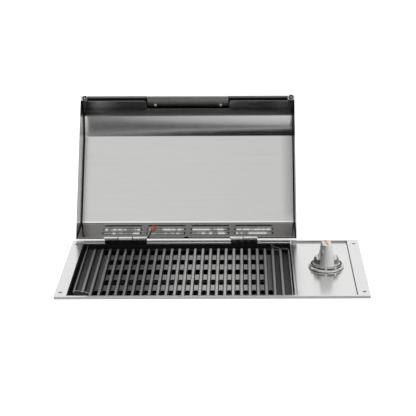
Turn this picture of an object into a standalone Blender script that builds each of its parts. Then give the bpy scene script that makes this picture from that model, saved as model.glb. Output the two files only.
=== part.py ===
"""Built-in electric grill with a hinged, removable hood, modelled as separate sub-parts.

Everything is in metres, +Z up. The origin is the middle of the front flange's underside, which is
the level of the worktop that the grill hangs in. X runs along the front edge, to the right, and Y
runs towards the back. The hood is modelled in the frame of its own hinge axis as if it were shut,
with -Y towards its handle and +Z into its depth, and its pivot empty then lays it open.
"""
import math

import bmesh
import bpy
from mathutils import Matrix, Vector

# Fits that many pieces share
GAP = 0.0003
OVERRUN = 0.004
CLOSE_MERGE = 0.00001
SMALL_ROUND_STEPS = 12
SCREW_ROUND_STEPS = 16
SMOOTH_ANGLE = math.radians(35)

# Fascia, the stainless frame that shows on the worktop
FASCIA_WIDTH = 0.533
FASCIA_DEPTH = 0.298
RIM_HEIGHT = 0.0048
RECESS_DEPTH = 0.0031
FASCIA_SHEET = 0.0008
SIDE_STRIP = 0.0212
FRONT_STRIP = 0.0056
REAR_STRIP = 0.0059
LEDGE_WIDTH = 0.0024
PANEL_WIDTH = 0.1058
CORNER_RADIUS = 0.002
CORNER_STEPS = 3

# Casing that hangs in the worktop cut-out
CASING_SIDE_SETBACK = 0.014
CASING_END_SETBACK = 0.008
CASING_DROP = 0.095
CASING_SHEET = 0.0006
FLANGE_CLEARANCE = 0.0004
VENT_COUNT = 5
VENT_LENGTH = 0.040
VENT_HEIGHT = 0.004
VENT_PITCH = 0.011
VENT_TOP_DROP = 0.025

# Firebox tub
TUB_SHEET = 0.0008
TUB_FLANGE_SHEET = 0.0006
TUB_REVEAL_SIDE = 0.0014
TUB_REVEAL_END = 0.0037
TUB_LEDGE = 0.0097
TUB_RIGHT_FLANGE = 0.012
TUB_DEPTH = 0.067
TUB_TAPER = 0.0094

# Cooking grate
GRATE_LEFT_GAP = 0.0061
GRATE_RIGHT_GAP = 0.0012
GRATE_FRONT_GAP = 0.0024
GRATE_REAR_GAP = 0.0032
GRATE_PLATE = 0.0031
GRATE_DROP = 0.0100
RIDGE_PITCH = 0.01425
RIDGE_HEIGHT = 0.0055
RIDGE_BASE = 0.0064
RIDGE_TOP = 0.0022
RIDGE_END_TAPER = 0.016
RIDGE_FRONT_INSET = 0.0012
RIDGE_REAR_INSET = 0.006
BORDER_WIDTH = 0.0022
BORDER_HEIGHT = 0.0045
SLOT_LENGTH = 0.0243
SLOT_WIDTH = 0.0074
SLOT_ROWS = 5
SLOT_ROW_SHARE = 0.1976
SLOT_ROW_SHIFT = -0.0019
SLOT_END_STEPS = 3
PLAIN_VALLEY_COUNT = 2
FINGER_WIDTH = 0.031
FINGER_LENGTH = 0.024
FINGER_STEPS = 8
FINGER_RIM = 0.002
FINGER_RIM_HEIGHT = 0.003
GRATE_LIFT_BITE = 0.0008

# Heating element and what carries it
ELEMENT_RADIUS = 0.00325
ELEMENT_END_MARGIN = 0.02945
ELEMENT_RUNS = 6
ELEMENT_DROP = 0.0298
ELEMENT_LEFT_MARGIN = 0.034
ELEMENT_RIGHT_MARGIN = 0.043
ELEMENT_TAIL = 0.016
ELEMENT_BEND_STEPS = 8
TERMINAL_PIN_RADIUS = 0.0015
TERMINAL_PIN_LENGTH = 0.008
TERMINAL_PLATE_SIZE = 0.022
TERMINAL_PLATE_THICKNESS = 0.0015
SUPPORT_THICKNESS = 0.0015
SUPPORT_HEIGHT = 0.012
SUPPORT_INSET = 0.075
SUPPORT_SEAT_STEPS = 8

# Drip tray
TRAY_SIDE_MARGIN = 0.016
TRAY_END_MARGIN = 0.010
TRAY_HEIGHT = 0.0145
TRAY_SHEET = 0.0008
TRAY_LIP = 0.005

# Heat regulator, its cam and shaft
KNOB_INSET = 0.0458
KNOB_SETBACK = 0.0042
REGULATOR_WIDTH = 0.044
REGULATOR_DEPTH = 0.038
REGULATOR_HEIGHT = 0.028
REGULATOR_CHAMBER_RADIUS = 0.0105
REGULATOR_CHAMBER_ROOF = 0.0085
NECK_RADIUS = 0.005
NECK_RISE = 0.0028
CAM_RADIUS = 0.0095
CAM_HEIGHT = 0.0075
CAM_NOTCH_WIDTH = 0.004
CAM_NOTCH_DEPTH = 0.003
SHAFT_RADIUS = 0.003
SHAFT_BELOW = 0.0225

# Knob and the ring under it
KNOB_TRAVEL = 0.003
KNOB_BASE_RADIUS = 0.0250
KNOB_WAIST_RADIUS = 0.0231
KNOB_WAIST_RISE = 0.0035
KNOB_HORN_RADIUS = 0.0204
KNOB_HORN_RISE = 0.0136
KNOB_FIN_RISE = 0.0384
KNOB_FIN_TOP_WIDTH = 0.0168
KNOB_FIN_BASE_WIDTH = 0.0268
KNOB_FIN_TOP_LENGTH = 0.030
KNOB_FIN_BASE_LENGTH = 0.0445
KNOB_VALLEY_RADIUS = 0.0034
KNOB_VALLEY_RISE = 0.0108
KNOB_VALLEY_OFFSET = 0.0160
KNOB_BORE_RISE = 0.022
KNOB_UNDERCUT_RADIUS = 0.0205
KNOB_UNDERCUT = 0.003
KNOB_EDGE = 0.0006
POINTER_LENGTH = 0.024
POINTER_WIDTH = 0.003
POINTER_THICKNESS = 0.0006
POINTER_SINK = 0.0005
POINTER_TURN = math.radians(8)
RING_RADIUS = 0.0314
RING_FOOT_RADIUS = 0.0290
RING_LIP_RISE = 0.0020
RING_TOP_RISE = 0.0040
RING_CROWN_RADIUS = 0.0295
RING_SHELF_RISE = 0.0029
RING_SHELF_RADIUS = 0.0262
RING_WALL = 0.0012
RING_SLOTS = 10
RING_SLOT_INNER = 0.0264
RING_SLOT_OUTER = 0.0277
RING_SLOT_SHARE = 0.78
RING_SLOT_STEPS = 3
ROUND_STEPS = 36

# Hood
LID_LEFT_SETBACK = 0.0057
LID_WIDTH = 0.4132
LID_LENGTH = 0.2890
LID_DEPTH = 0.0757
LID_SHEET = 0.0008
LID_OPEN_ANGLE = math.radians(125)
LID_REAR_SLOPE = math.radians(55)
LID_ROOF_SETBACK = 0.0534
LID_KNEE_SETBACK = 0.0111
LID_KNEE_DEPTH = 0.0545
LID_REAR_OVERHANG = 0.0027
FOLD_RADIUS = 0.002
FOLD_STEPS = 3
CORNER_TAB_WIDTH = 0.0132
CORNER_TAB_DEPTH = 0.0094
LINER_SHEET = 0.0006
LINER_SIDE_GAP = 0.0034
LINER_REAR_GAP = 0.0026
LINER_ROOF_GAP = 0.0038
LINER_SLOPE_GAP = 0.0049
LINER_FRONT_GAP = 0.0082
LINER_SLOT_LENGTH = 0.0075
LINER_SLOT_DEPTH = 0.0026
LOUVRE_LENGTH = 0.073
LOUVRE_HEIGHT = 0.0072
LOUVRE_PITCH = 0.0830
LOUVRE_COUNT = 4
LOUVRE_LEFT = 0.0475
LOUVRE_DEPTHS = (0.0205, 0.0400, 0.0595)
LOUVRE_END_STEPS = 3

# Handle on the hood
HANDLE_SPACING = 0.127
HANDLE_RADIUS = 0.004
HANDLE_ROOT_DEPTH = 0.0255
HANDLE_ROOT_OUT = 0.006
HANDLE_REACH = 0.0165
HANDLE_CLIMB = 0.0235
HANDLE_BEND_STEPS = 5
HANDLE_PLATE_END = 0.015
HANDLE_PLATE_HEIGHT = 0.038
HANDLE_PLATE_SHEET = 0.0015
HANDLE_NOTCH_MARGIN = 0.0015
HANDLE_NOTCH_DEPTH = 0.031
HANDLE_NOTCH_FLARE = 0.0029
HANDLE_NOTCH_FLARE_DEPTH = 0.0060
HANDLE_NOTCH_RADIUS = 0.0030
HANDLE_SCREW_HEAD = 0.0034
HANDLE_SCREW_HEAD_RISE = 0.0020
HANDLE_SCREW_RADIUS = 0.0018
HANDLE_SCREW_BITE = 0.006

# Rubber buffers under the hood's front corners
BUFFER_RADIUS = 0.0055
BUFFER_STEM_RADIUS = 0.0016
BUFFER_STEM_HEAD = 0.0021
BUFFER_STEM_RISE = 0.0024
BUFFER_SIDE_INSET = 0.0084
BUFFER_RIGHT_INSET = 0.0071
BUFFER_FRONT_INSET = 0.0059

# Hinges and the release pin
HINGE_RISE = 0.0048
HINGE_SETBACK = 0.0016
BARREL_RADIUS = 0.0029
BARREL_BORE = 0.0015
LEFT_HINGE_START = 0.0583
LEFT_KNUCKLES = (0.0266, 0.0269, 0.0273)
RIGHT_HINGE_START = 0.2936
RIGHT_KNUCKLES = (0.0249, 0.0269)
LEAF_SHEET = 0.0012
LEAF_LENGTH = 0.020
LEAF_ROOT = 0.0045
LEAF_DROP = 0.025
LEAF_TOP_DROP = 0.0012
NOTCH_LEFT_MARGIN = 0.0022
NOTCH_RIGHT_MARGIN = 0.0064
NOTCH_REAR_WEB = 0.0014
LID_NOTCH_MARGIN = 0.001
LID_NOTCH_RISE = 0.0032
PIN_RADIUS = 0.0011
PIN_ARM_OUT = 0.0110
PIN_ARM_FORWARD = 0.0200
PIN_ARM_LIFT = 0.0020
PIN_BEND_STEPS = 6
PIN_BEND_RADIUS = 0.0030
PIN_TAIL = 0.0004
CAP_RADIUS = 0.0039
CAP_LENGTH = 0.0105
CAP_ROUNDING = 0.0020
CAP_GRIP = 0.0075

# Screws that hold the frame down to the worktop
SCREW_SIDE_INSET = 0.0095
SCREW_FRONT_INSET = 0.0213
SCREW_REAR_INSET = 0.0240
SCREW_HEAD_RADIUS = 0.0034
SCREW_HEAD_DEPTH = 0.0019
SCREW_SHANK_RADIUS = 0.0019
SCREW_LENGTH = 0.020

# Wiring
GLAND_RISE = 0.040
GLAND_INSET = 0.052
GLAND_RADIUS = 0.0105
GLAND_THREAD_RADIUS = 0.0078
GLAND_BORE = 0.0042
GLAND_LENGTH = 0.016
GLAND_NECK = 0.012
GLAND_NUT_THICKNESS = 0.004
BLOCK_LENGTH = 0.044
BLOCK_WIDTH = 0.020
BLOCK_HEIGHT = 0.016
BLOCK_INSET = 0.075
BLOCK_SETBACK = 0.062
BLOCK_WAYS = 3
BLOCK_WELL_RADIUS = 0.003
BLOCK_WELL_DEPTH = 0.006
LEAD_RADIUS = 0.0014
LEAD_CLEARANCE = 0.018
LEAD_STEPS = 16

# Levels and edges that follow from the sizes above
HALF_WIDTH = FASCIA_WIDTH / 2
HALF_DEPTH = FASCIA_DEPTH / 2
FLOOR_TOP = RIM_HEIGHT - RECESS_DEPTH
FLOOR_UNDER = FLOOR_TOP - FASCIA_SHEET
RECESS_X = HALF_WIDTH - SIDE_STRIP
RECESS_FRONT = -(HALF_DEPTH - FRONT_STRIP)
RECESS_REAR = HALF_DEPTH - REAR_STRIP
OPENING_LEFT = -RECESS_X
OPENING_RIGHT = RECESS_X - PANEL_WIDTH
OPENING_FRONT = RECESS_FRONT + LEDGE_WIDTH
OPENING_REAR = RECESS_REAR - LEDGE_WIDTH
CASING_X = HALF_WIDTH - CASING_SIDE_SETBACK
CASING_Y = HALF_DEPTH - CASING_END_SETBACK
FLANGE_X = HALF_WIDTH - FASCIA_SHEET - FLANGE_CLEARANCE
FLANGE_Y = HALF_DEPTH - FASCIA_SHEET - FLANGE_CLEARANCE
FLANGE_MIDDLE_Y = (CASING_Y + FLANGE_Y) / 2
TUB_LEFT = OPENING_LEFT + TUB_REVEAL_SIDE
TUB_RIGHT = OPENING_RIGHT - TUB_REVEAL_SIDE
TUB_FRONT = OPENING_FRONT + TUB_REVEAL_END
TUB_REAR = OPENING_REAR - TUB_REVEAL_END
GRATE_LEFT = TUB_LEFT + GRATE_LEFT_GAP
GRATE_RIGHT = TUB_RIGHT - GRATE_RIGHT_GAP
GRATE_FRONT = TUB_FRONT + GRATE_FRONT_GAP
GRATE_REAR = TUB_REAR - GRATE_REAR_GAP
GRATE_TOP = RIM_HEIGHT - GRATE_DROP
SLOT_ROW_PITCH = (GRATE_REAR - GRATE_FRONT) * SLOT_ROW_SHARE
TUB_LEDGE_LEVEL = GRATE_TOP - GRATE_PLATE - GAP
TUB_FLOOR = -TUB_DEPTH
WELL_LEFT = TUB_LEFT + TUB_LEDGE
WELL_RIGHT = TUB_RIGHT - TUB_LEDGE
WELL_FRONT = TUB_FRONT + TUB_LEDGE
WELL_REAR = TUB_REAR - TUB_LEDGE
ELEMENT_PITCH = (WELL_REAR - WELL_FRONT - 2 * ELEMENT_END_MARGIN) / (ELEMENT_RUNS - 1)
KNOB_X = RECESS_X - KNOB_INSET
KNOB_Y = KNOB_SETBACK
KNOB_FOOT = FLOOR_TOP + GAP + RING_TOP_RISE + KNOB_TRAVEL + GAP
KNOB_TOP = KNOB_FOOT + KNOB_FIN_RISE
LID_LEFT = -HALF_WIDTH + LID_LEFT_SETBACK
LID_RIGHT = LID_LEFT + LID_WIDTH
LID_MIDDLE = (LID_LEFT + LID_RIGHT) / 2
HANDLE_PLATE_LENGTH = HANDLE_SPACING + 2 * HANDLE_PLATE_END
HANDLE_NOTCH_LENGTH = HANDLE_PLATE_LENGTH + 2 * HANDLE_NOTCH_MARGIN
HINGE_Y = HALF_DEPTH - HINGE_SETBACK
HINGE_Z = RIM_HEIGHT + HINGE_RISE
LEFT_HINGE_X = -HALF_WIDTH + LEFT_HINGE_START
RIGHT_HINGE_X = -HALF_WIDTH + RIGHT_HINGE_START
LEAF_REAR = CASING_Y - CASING_SHEET - GAP
LEAF_FRONT = LEAF_REAR - LEAF_SHEET

# Finishes: colour, metallic and roughness
BRUSHED_STEEL = ((0.62, 0.62, 0.61), 1.0, 0.32)
SATIN_STEEL = ((0.55, 0.55, 0.54), 1.0, 0.38)
POLISHED_STEEL = ((0.75, 0.75, 0.74), 1.0, 0.16)
GALVANISED = ((0.46, 0.47, 0.48), 0.9, 0.5)
BLACK_ENAMEL = ((0.012, 0.012, 0.013), 0.0, 0.35)
GRATE_CASTING = ((0.28, 0.28, 0.28), 0.85, 0.42)
ELEMENT_ALLOY = ((0.09, 0.085, 0.08), 0.7, 0.5)
DARK_RUBBER = ((0.03, 0.03, 0.03), 0.0, 0.7)
ORANGE_RED = ((0.75, 0.09, 0.03), 0.0, 0.5)
KNOB_METAL = ((0.60, 0.60, 0.59), 0.9, 0.38)
BLACK_PLASTIC = ((0.02, 0.02, 0.02), 0.0, 0.45)
PALE_CERAMIC = ((0.78, 0.76, 0.70), 0.0, 0.55)
ZINC = ((0.66, 0.66, 0.68), 1.0, 0.4)
BROWN_WIRE = ((0.16, 0.07, 0.03), 0.0, 0.5)
BLUE_WIRE = ((0.03, 0.08, 0.35), 0.0, 0.5)
GREEN_WIRE = ((0.10, 0.32, 0.06), 0.0, 0.5)
RED_WIRE = ((0.45, 0.03, 0.02), 0.0, 0.5)


def clear_scene():
    """Remove every object that the file starts with."""
    for old in list(bpy.data.objects):
        bpy.data.objects.remove(old)


def make_collection(name):
    collection = bpy.data.collections.new(name)
    bpy.context.scene.collection.children.link(collection)
    return collection


def make_empty(name, parent, location, rotation_x=0.0):
    empty = bpy.data.objects.new(name, None)
    PARTS.objects.link(empty)
    empty.parent = parent
    empty.location = location
    empty.rotation_euler = (rotation_x, 0.0, 0.0)
    return empty


def material_for(name, finish):
    colour, metallic, roughness = finish
    material = bpy.data.materials.new(name + "_finish")
    material.use_nodes = True
    shader = material.node_tree.nodes["Principled BSDF"]
    shader.inputs["Base Color"].default_value = (*colour, 1.0)
    shader.inputs["Metallic"].default_value = metallic
    shader.inputs["Roughness"].default_value = roughness
    material.diffuse_color = (*colour, 1.0)
    return material


def solid_object(name, mesh):
    obj = bpy.data.objects.new(name, mesh)
    CUTTERS.objects.link(obj)
    obj.display_type = 'WIRE'
    obj.hide_render = True
    return obj


def sub_part(obj, parent, finish, smooth=False):
    """Turn a shape into a finished sub-part that hangs on its parent empty."""
    CUTTERS.objects.unlink(obj)
    PARTS.objects.link(obj)
    obj.display_type = 'TEXTURED'
    obj.hide_render = False
    obj.parent = parent
    obj.data.materials.clear()
    obj.data.materials.append(material_for(obj.name, finish))
    if smooth:
        obj.data.shade_smooth()
        obj.data.set_sharp_from_angle(angle=SMOOTH_ANGLE)
    return obj


def cut(obj, *cutters):
    """Take the cutters away from the object."""
    for cutter in cutters:
        modifier = obj.modifiers.new("cut_" + cutter.name, 'BOOLEAN')
        modifier.operation = 'DIFFERENCE'
        modifier.object = cutter
    return obj


def join(obj, *others):
    """Weld the other shapes to the object."""
    for other in others:
        modifier = obj.modifiers.new("join_" + other.name, 'BOOLEAN')
        modifier.operation = 'UNION'
        modifier.object = other
    return obj


def follow(parent, *cutters):
    """Hang cutters on the same empty as the piece that they cut."""
    for cutter in cutters:
        cutter.parent = parent


def from_bmesh(name, bm):
    mesh = bpy.data.meshes.new(name)
    bm.to_mesh(mesh)
    bm.free()
    return solid_object(name, mesh)


def box(name, low, high):
    """Box between two corners."""
    low = Vector(low)
    high = Vector(high)
    bm = bmesh.new()
    bmesh.ops.create_cube(bm, size=1.0)
    bmesh.ops.scale(bm, vec=high - low, verts=bm.verts)
    bmesh.ops.translate(bm, vec=(low + high) / 2, verts=bm.verts)
    return from_bmesh(name, bm)


def rounded_box(name, low, high, radius, vertical_only=False):
    """Box with its edges, or only its four upright edges, rounded."""
    obj = box(name, low, high)
    bm = bmesh.new()
    bm.from_mesh(obj.data)
    edges = list(bm.edges)
    if vertical_only:
        edges = [e for e in edges if abs(e.verts[0].co.z - e.verts[1].co.z) > CLOSE_MERGE]
    bmesh.ops.bevel(bm, geom=edges, offset=radius, affect='EDGES', segments=CORNER_STEPS,
                    profile=0.5, material=-1)
    bm.to_mesh(obj.data)
    bm.free()
    return obj


def tapered_box(name, top, bottom, top_level, bottom_level):
    """Box whose rectangle (left, front, right, rear) changes from top to bottom."""
    bm = bmesh.new()
    bmesh.ops.create_cube(bm, size=2.0)
    for vert in bm.verts:
        left, front, right, rear = top if vert.co.z > 0 else bottom
        vert.co = (right if vert.co.x > 0 else left, rear if vert.co.y > 0 else front,
                   top_level if vert.co.z > 0 else bottom_level)
    return from_bmesh(name, bm)


def round_bar(name, start, end, radius, end_radius=None, steps=ROUND_STEPS // 2):
    """Cylinder or cone frustum from one point to another."""
    start = Vector(start)
    end = Vector(end)
    along = end - start
    bm = bmesh.new()
    bmesh.ops.create_cone(bm, cap_ends=True, segments=steps, radius1=radius,
                          radius2=radius if end_radius is None else end_radius, depth=along.length)
    turn = Vector((0, 0, 1)).rotation_difference(along).to_matrix().to_4x4()
    bmesh.ops.transform(bm, matrix=Matrix.Translation((start + end) / 2) @ turn, verts=bm.verts)
    return from_bmesh(name, bm)


def settle(name, source):
    """Mesh object from a curve or from an object with modifiers, with its caps welded."""
    bpy.context.view_layer.update()
    evaluated = source.evaluated_get(bpy.context.evaluated_depsgraph_get())
    mesh = bpy.data.meshes.new_from_object(evaluated)
    bm = bmesh.new()
    bm.from_mesh(mesh)
    bmesh.ops.remove_doubles(bm, verts=bm.verts, dist=CLOSE_MERGE)
    bm.to_mesh(mesh)
    bm.free()
    result = solid_object(name, mesh)
    result.matrix_world = source.matrix_world
    bpy.data.objects.remove(source)
    return result


def flat_outline(name, outline, thickness, holes=()):
    """Plate of a closed outline, with holes, centred on the XY plane."""
    curve = bpy.data.curves.new(name + "_outline", 'CURVE')
    curve.dimensions = '2D'
    curve.fill_mode = 'BOTH'
    curve.extrude = thickness / 2
    for ring in (outline, *holes):
        spline = curve.splines.new('POLY')
        spline.points.add(len(ring) - 1)
        for point, place in zip(spline.points, ring):
            point.co = (place[0], place[1], 0.0, 1.0)
        spline.use_cyclic_u = True
    source = bpy.data.objects.new(name + "_curve", curve)
    CUTTERS.objects.link(source)
    return settle(name, source)


def plate(name, outline, low, high, holes=()):
    """Level plate between two heights."""
    obj = flat_outline(name, outline, high - low, holes)
    obj.data.transform(Matrix.Translation((0.0, 0.0, (low + high) / 2)))
    return obj


def prism(name, outline, left, right):
    """Outline of (y, z) points drawn along X from left to right."""
    obj = flat_outline(name, outline, right - left)
    sideways = Matrix(((0, 0, 1, (left + right) / 2), (1, 0, 0, 0), (0, 1, 0, 0), (0, 0, 0, 1)))
    obj.data.transform(sideways)
    return obj


def prism_back(name, outline, front, rear):
    """Outline of (x, z) points drawn along Y from front to rear."""
    obj = flat_outline(name, outline, rear - front)
    backwards = Matrix(((1, 0, 0, 0), (0, 0, -1, (front + rear) / 2), (0, 1, 0, 0), (0, 0, 0, 1)))
    obj.data.transform(backwards)
    return obj


def tube(name, points, radius, resolution=2):
    """Round bar or wire along a list of points."""
    curve = bpy.data.curves.new(name + "_path", 'CURVE')
    curve.dimensions = '3D'
    curve.bevel_depth = radius
    curve.bevel_resolution = resolution
    curve.use_fill_caps = True
    spline = curve.splines.new('POLY')
    spline.points.add(len(points) - 1)
    for point, place in zip(spline.points, points):
        point.co = (*place, 1.0)
    source = bpy.data.objects.new(name + "_curve", curve)
    CUTTERS.objects.link(source)
    return settle(name, source)


def turned(name, profile, steps=ROUND_STEPS):
    """Shape turned about Z from a profile of (radius, height), down its outer side."""
    bm = bmesh.new()
    ring = [bm.verts.new((radius, 0.0, height)) for radius, height in profile]
    closed = profile[0][0] > 0
    for first, second in zip(ring, ring[1:] + ring[:1] if closed else ring[1:]):
        bm.edges.new((first, second))
    mesh = bpy.data.meshes.new(name + "_profile")
    bm.to_mesh(mesh)
    bm.free()
    source = solid_object(name + "_source", mesh)
    screw = source.modifiers.new("turn", 'SCREW')
    screw.steps = steps
    screw.render_steps = steps
    screw.use_merge_vertices = True
    screw.merge_threshold = CLOSE_MERGE
    return settle(name, source)


def arc(centre, radius, start, end, steps):
    """Points on an arc in a plane, from one angle to another."""
    return [(centre[0] + radius * math.cos(start + (end - start) * i / steps),
             centre[1] + radius * math.sin(start + (end - start) * i / steps))
            for i in range(steps + 1)]


def stadium(centre, length, width, steps, along_y):
    """Outline of a slot with round ends."""
    radius = width / 2
    reach = length / 2 - radius
    x, y = centre
    quarter = math.pi / 2
    if along_y:
        return (arc((x, y + reach), radius, 0.0, math.pi, steps)
                + arc((x, y - reach), radius, math.pi, 2 * math.pi, steps))
    return (arc((x + reach, y), radius, -quarter, quarter, steps)
            + arc((x - reach, y), radius, quarter, 3 * quarter, steps))


def inset_outline(points, distances):
    """Move each side of an outline inwards by its own distance; side i starts at point i."""
    turn = sum(a[0] * b[1] - b[0] * a[1] for a, b in zip(points, points[1:] + points[:1]))
    side = 1.0 if turn > 0 else -1.0
    lines = []
    for start, end, distance in zip(points, points[1:] + points[:1], distances):
        along = (Vector(end) - Vector(start)).normalized()
        inward = Vector((-along.y, along.x)) * side
        lines.append((Vector(start) + inward * distance, along))
    result = []
    for before, after in zip(lines[-1:] + lines[:-1], lines):
        (p, d), (q, e) = before, after
        cross = d.x * e.y - d.y * e.x
        reach = ((q.x - p.x) * e.y - (q.y - p.y) * e.x) / cross
        result.append(tuple(p + d * reach))
    return result


def folded(outline, radius):
    """The hood's side view with its three folds bent to a radius; the rim's corners stay sharp."""
    points = [outline[0]]
    for before, here, after in zip(outline, outline[1:], outline[2:]):
        corner = Vector(here)
        back = (Vector(before) - corner).normalized()
        ahead = (Vector(after) - corner).normalized()
        half = back.angle(ahead) / 2
        middle = corner + (back + ahead).normalized() * radius / math.sin(half)
        start = corner + back * radius / math.tan(half) - middle
        end = corner + ahead * radius / math.tan(half) - middle
        turn = start.angle(end)
        for i in range(FOLD_STEPS + 1):
            angle = turn * i / FOLD_STEPS
            points.append(tuple(middle + (start * math.sin(turn - angle)
                                          + end * math.sin(angle)) / math.sin(turn)))
    return points + [outline[-1]]


def smooth_route(corners, steps):
    """Points on a smooth curve through a route's own points, for a wire."""
    knots = [Vector(c) for c in corners]
    knots = [knots[0] * 2 - knots[1], *knots, knots[-1] * 2 - knots[-2]]
    spans = len(knots) - 3
    points = []
    for i in range(steps + 1):
        place = min(i * spans / steps, spans - CLOSE_MERGE)
        span = int(place)
        t = place - span
        a, b, c, d = knots[span:span + 4]
        points.append((b * 2 + (c - a) * t + (a * 2 - b * 5 + c * 4 - d) * t * t
                       + (b * 3 - a - c * 3 + d) * t * t * t) / 2)
    return points


def rectangle(left, front, right, rear):
    return [(left, front), (right, front), (right, rear), (left, rear)]


def tub_inner_half(level):
    """Front or rear well wall's distance from the middle at a level under the ledge."""
    share = (TUB_LEDGE_LEVEL - level) / (TUB_LEDGE_LEVEL - TUB_FLOOR)
    return (WELL_REAR - WELL_FRONT) / 2 - TUB_TAPER * share


def element_rows():
    """Y of each run of the heating element, from the back."""
    return [ELEMENT_PITCH * ((ELEMENT_RUNS - 1) / 2 - i) for i in range(ELEMENT_RUNS)]


def notch_span(start, knuckles):
    """Left and right edge of the gap in the rear strip for a hinge."""
    return start + NOTCH_LEFT_MARGIN, start + sum(knuckles) + NOTCH_RIGHT_MARGIN


def screw_places():
    x = HALF_WIDTH - SCREW_SIDE_INSET
    front = -HALF_DEPTH + SCREW_FRONT_INSET
    rear = HALF_DEPTH - SCREW_REAR_INSET
    return {"front_left": (-x, front), "rear_left": (-x, rear),
            "front_right": (x, front), "rear_right": (x, rear)}


def build_fascia():
    """Folded stainless frame: raised strips round a recess, the control panel and the opening."""
    low = (-HALF_WIDTH, -HALF_DEPTH, 0.0)
    fascia = rounded_box("fascia_frame", low, (HALF_WIDTH, HALF_DEPTH, RIM_HEIGHT),
                         CORNER_RADIUS, vertical_only=True)
    recess = box("recess_cut", (-RECESS_X, RECESS_FRONT, FLOOR_TOP),
                 (RECESS_X, RECESS_REAR, RIM_HEIGHT + OVERRUN))
    opening = box("opening_cut", (OPENING_LEFT, OPENING_FRONT, -OVERRUN),
                  (OPENING_RIGHT, OPENING_REAR, RIM_HEIGHT))
    under = box("under_cut", (-HALF_WIDTH + FASCIA_SHEET, -HALF_DEPTH + FASCIA_SHEET, -OVERRUN),
                (HALF_WIDTH - FASCIA_SHEET, HALF_DEPTH - FASCIA_SHEET, FLOOR_UNDER))
    outer = rectangle(-HALF_WIDTH + FASCIA_SHEET, -HALF_DEPTH + FASCIA_SHEET,
                      HALF_WIDTH - FASCIA_SHEET, HALF_DEPTH - FASCIA_SHEET)
    inner = rectangle(-RECESS_X - FASCIA_SHEET, RECESS_FRONT - FASCIA_SHEET,
                      RECESS_X + FASCIA_SHEET, RECESS_REAR + FASCIA_SHEET)
    channel = plate("channel_cut", outer, -OVERRUN, RIM_HEIGHT - FASCIA_SHEET, [inner])
    neck = round_bar("neck_hole_cut", (KNOB_X, KNOB_Y, -OVERRUN), (KNOB_X, KNOB_Y, RIM_HEIGHT),
                     NECK_RADIUS + GAP)
    cutters = [recess, opening, under, channel, neck]
    for start, knuckles in ((LEFT_HINGE_X, LEFT_KNUCKLES), (RIGHT_HINGE_X, RIGHT_KNUCKLES)):
        left, right = notch_span(start, knuckles)
        cutters.append(box("hinge_notch_cut", (left, OPENING_REAR - OVERRUN, -OVERRUN),
                           (right, HALF_DEPTH - NOTCH_REAR_WEB, RIM_HEIGHT + OVERRUN)))
    head = SCREW_HEAD_RADIUS + GAP
    for x, y in screw_places().values():
        cutters.append(round_bar("screw_hole_cut", (x, y, RIM_HEIGHT - SCREW_HEAD_DEPTH),
                                 (x, y, RIM_HEIGHT + GAP), SCREW_SHANK_RADIUS + GAP, head))
    follow(GRILL, *cutters)
    sub_part(cut(fascia, *cutters), GRILL, BRUSHED_STEEL)


def build_casing():
    """Galvanised box that hangs in the worktop, with its flange, vents and cable hole."""
    shell = box("casing", (-CASING_X, -CASING_Y, -CASING_DROP), (CASING_X, CASING_Y, CASING_SHEET))
    flange = box("casing_flange", (-FLANGE_X, -FLANGE_Y, 0.0), (FLANGE_X, FLANGE_Y, CASING_SHEET))
    inside = box("casing_inside_cut",
                 (-CASING_X + CASING_SHEET, -CASING_Y + CASING_SHEET, -CASING_DROP + CASING_SHEET),
                 (CASING_X - CASING_SHEET, CASING_Y - CASING_SHEET, OVERRUN))
    cutters = [inside]
    for i in range(VENT_COUNT):
        top = -VENT_TOP_DROP - i * VENT_PITCH
        for side in (-1, 1):
            middle = side * VENT_LENGTH
            cutters.append(box("casing_vent_cut",
                               (CASING_X - OVERRUN, middle - VENT_LENGTH / 2, top - VENT_HEIGHT),
                               (CASING_X + OVERRUN, middle + VENT_LENGTH / 2, top)))
    x, z = gland_place()
    cutters.append(round_bar("casing_gland_cut", (x, CASING_Y - OVERRUN, z),
                             (x, CASING_Y + OVERRUN, z), GLAND_THREAD_RADIUS + GAP))
    for x, y in screw_places().values():
        cutters.append(round_bar("casing_screw_cut", (x, y, -OVERRUN), (x, y, OVERRUN),
                                 SCREW_SHANK_RADIUS + GAP))
    follow(GRILL, flange, *cutters)
    join(shell, flange)
    sub_part(cut(shell, *cutters), GRILL, GALVANISED)


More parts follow.
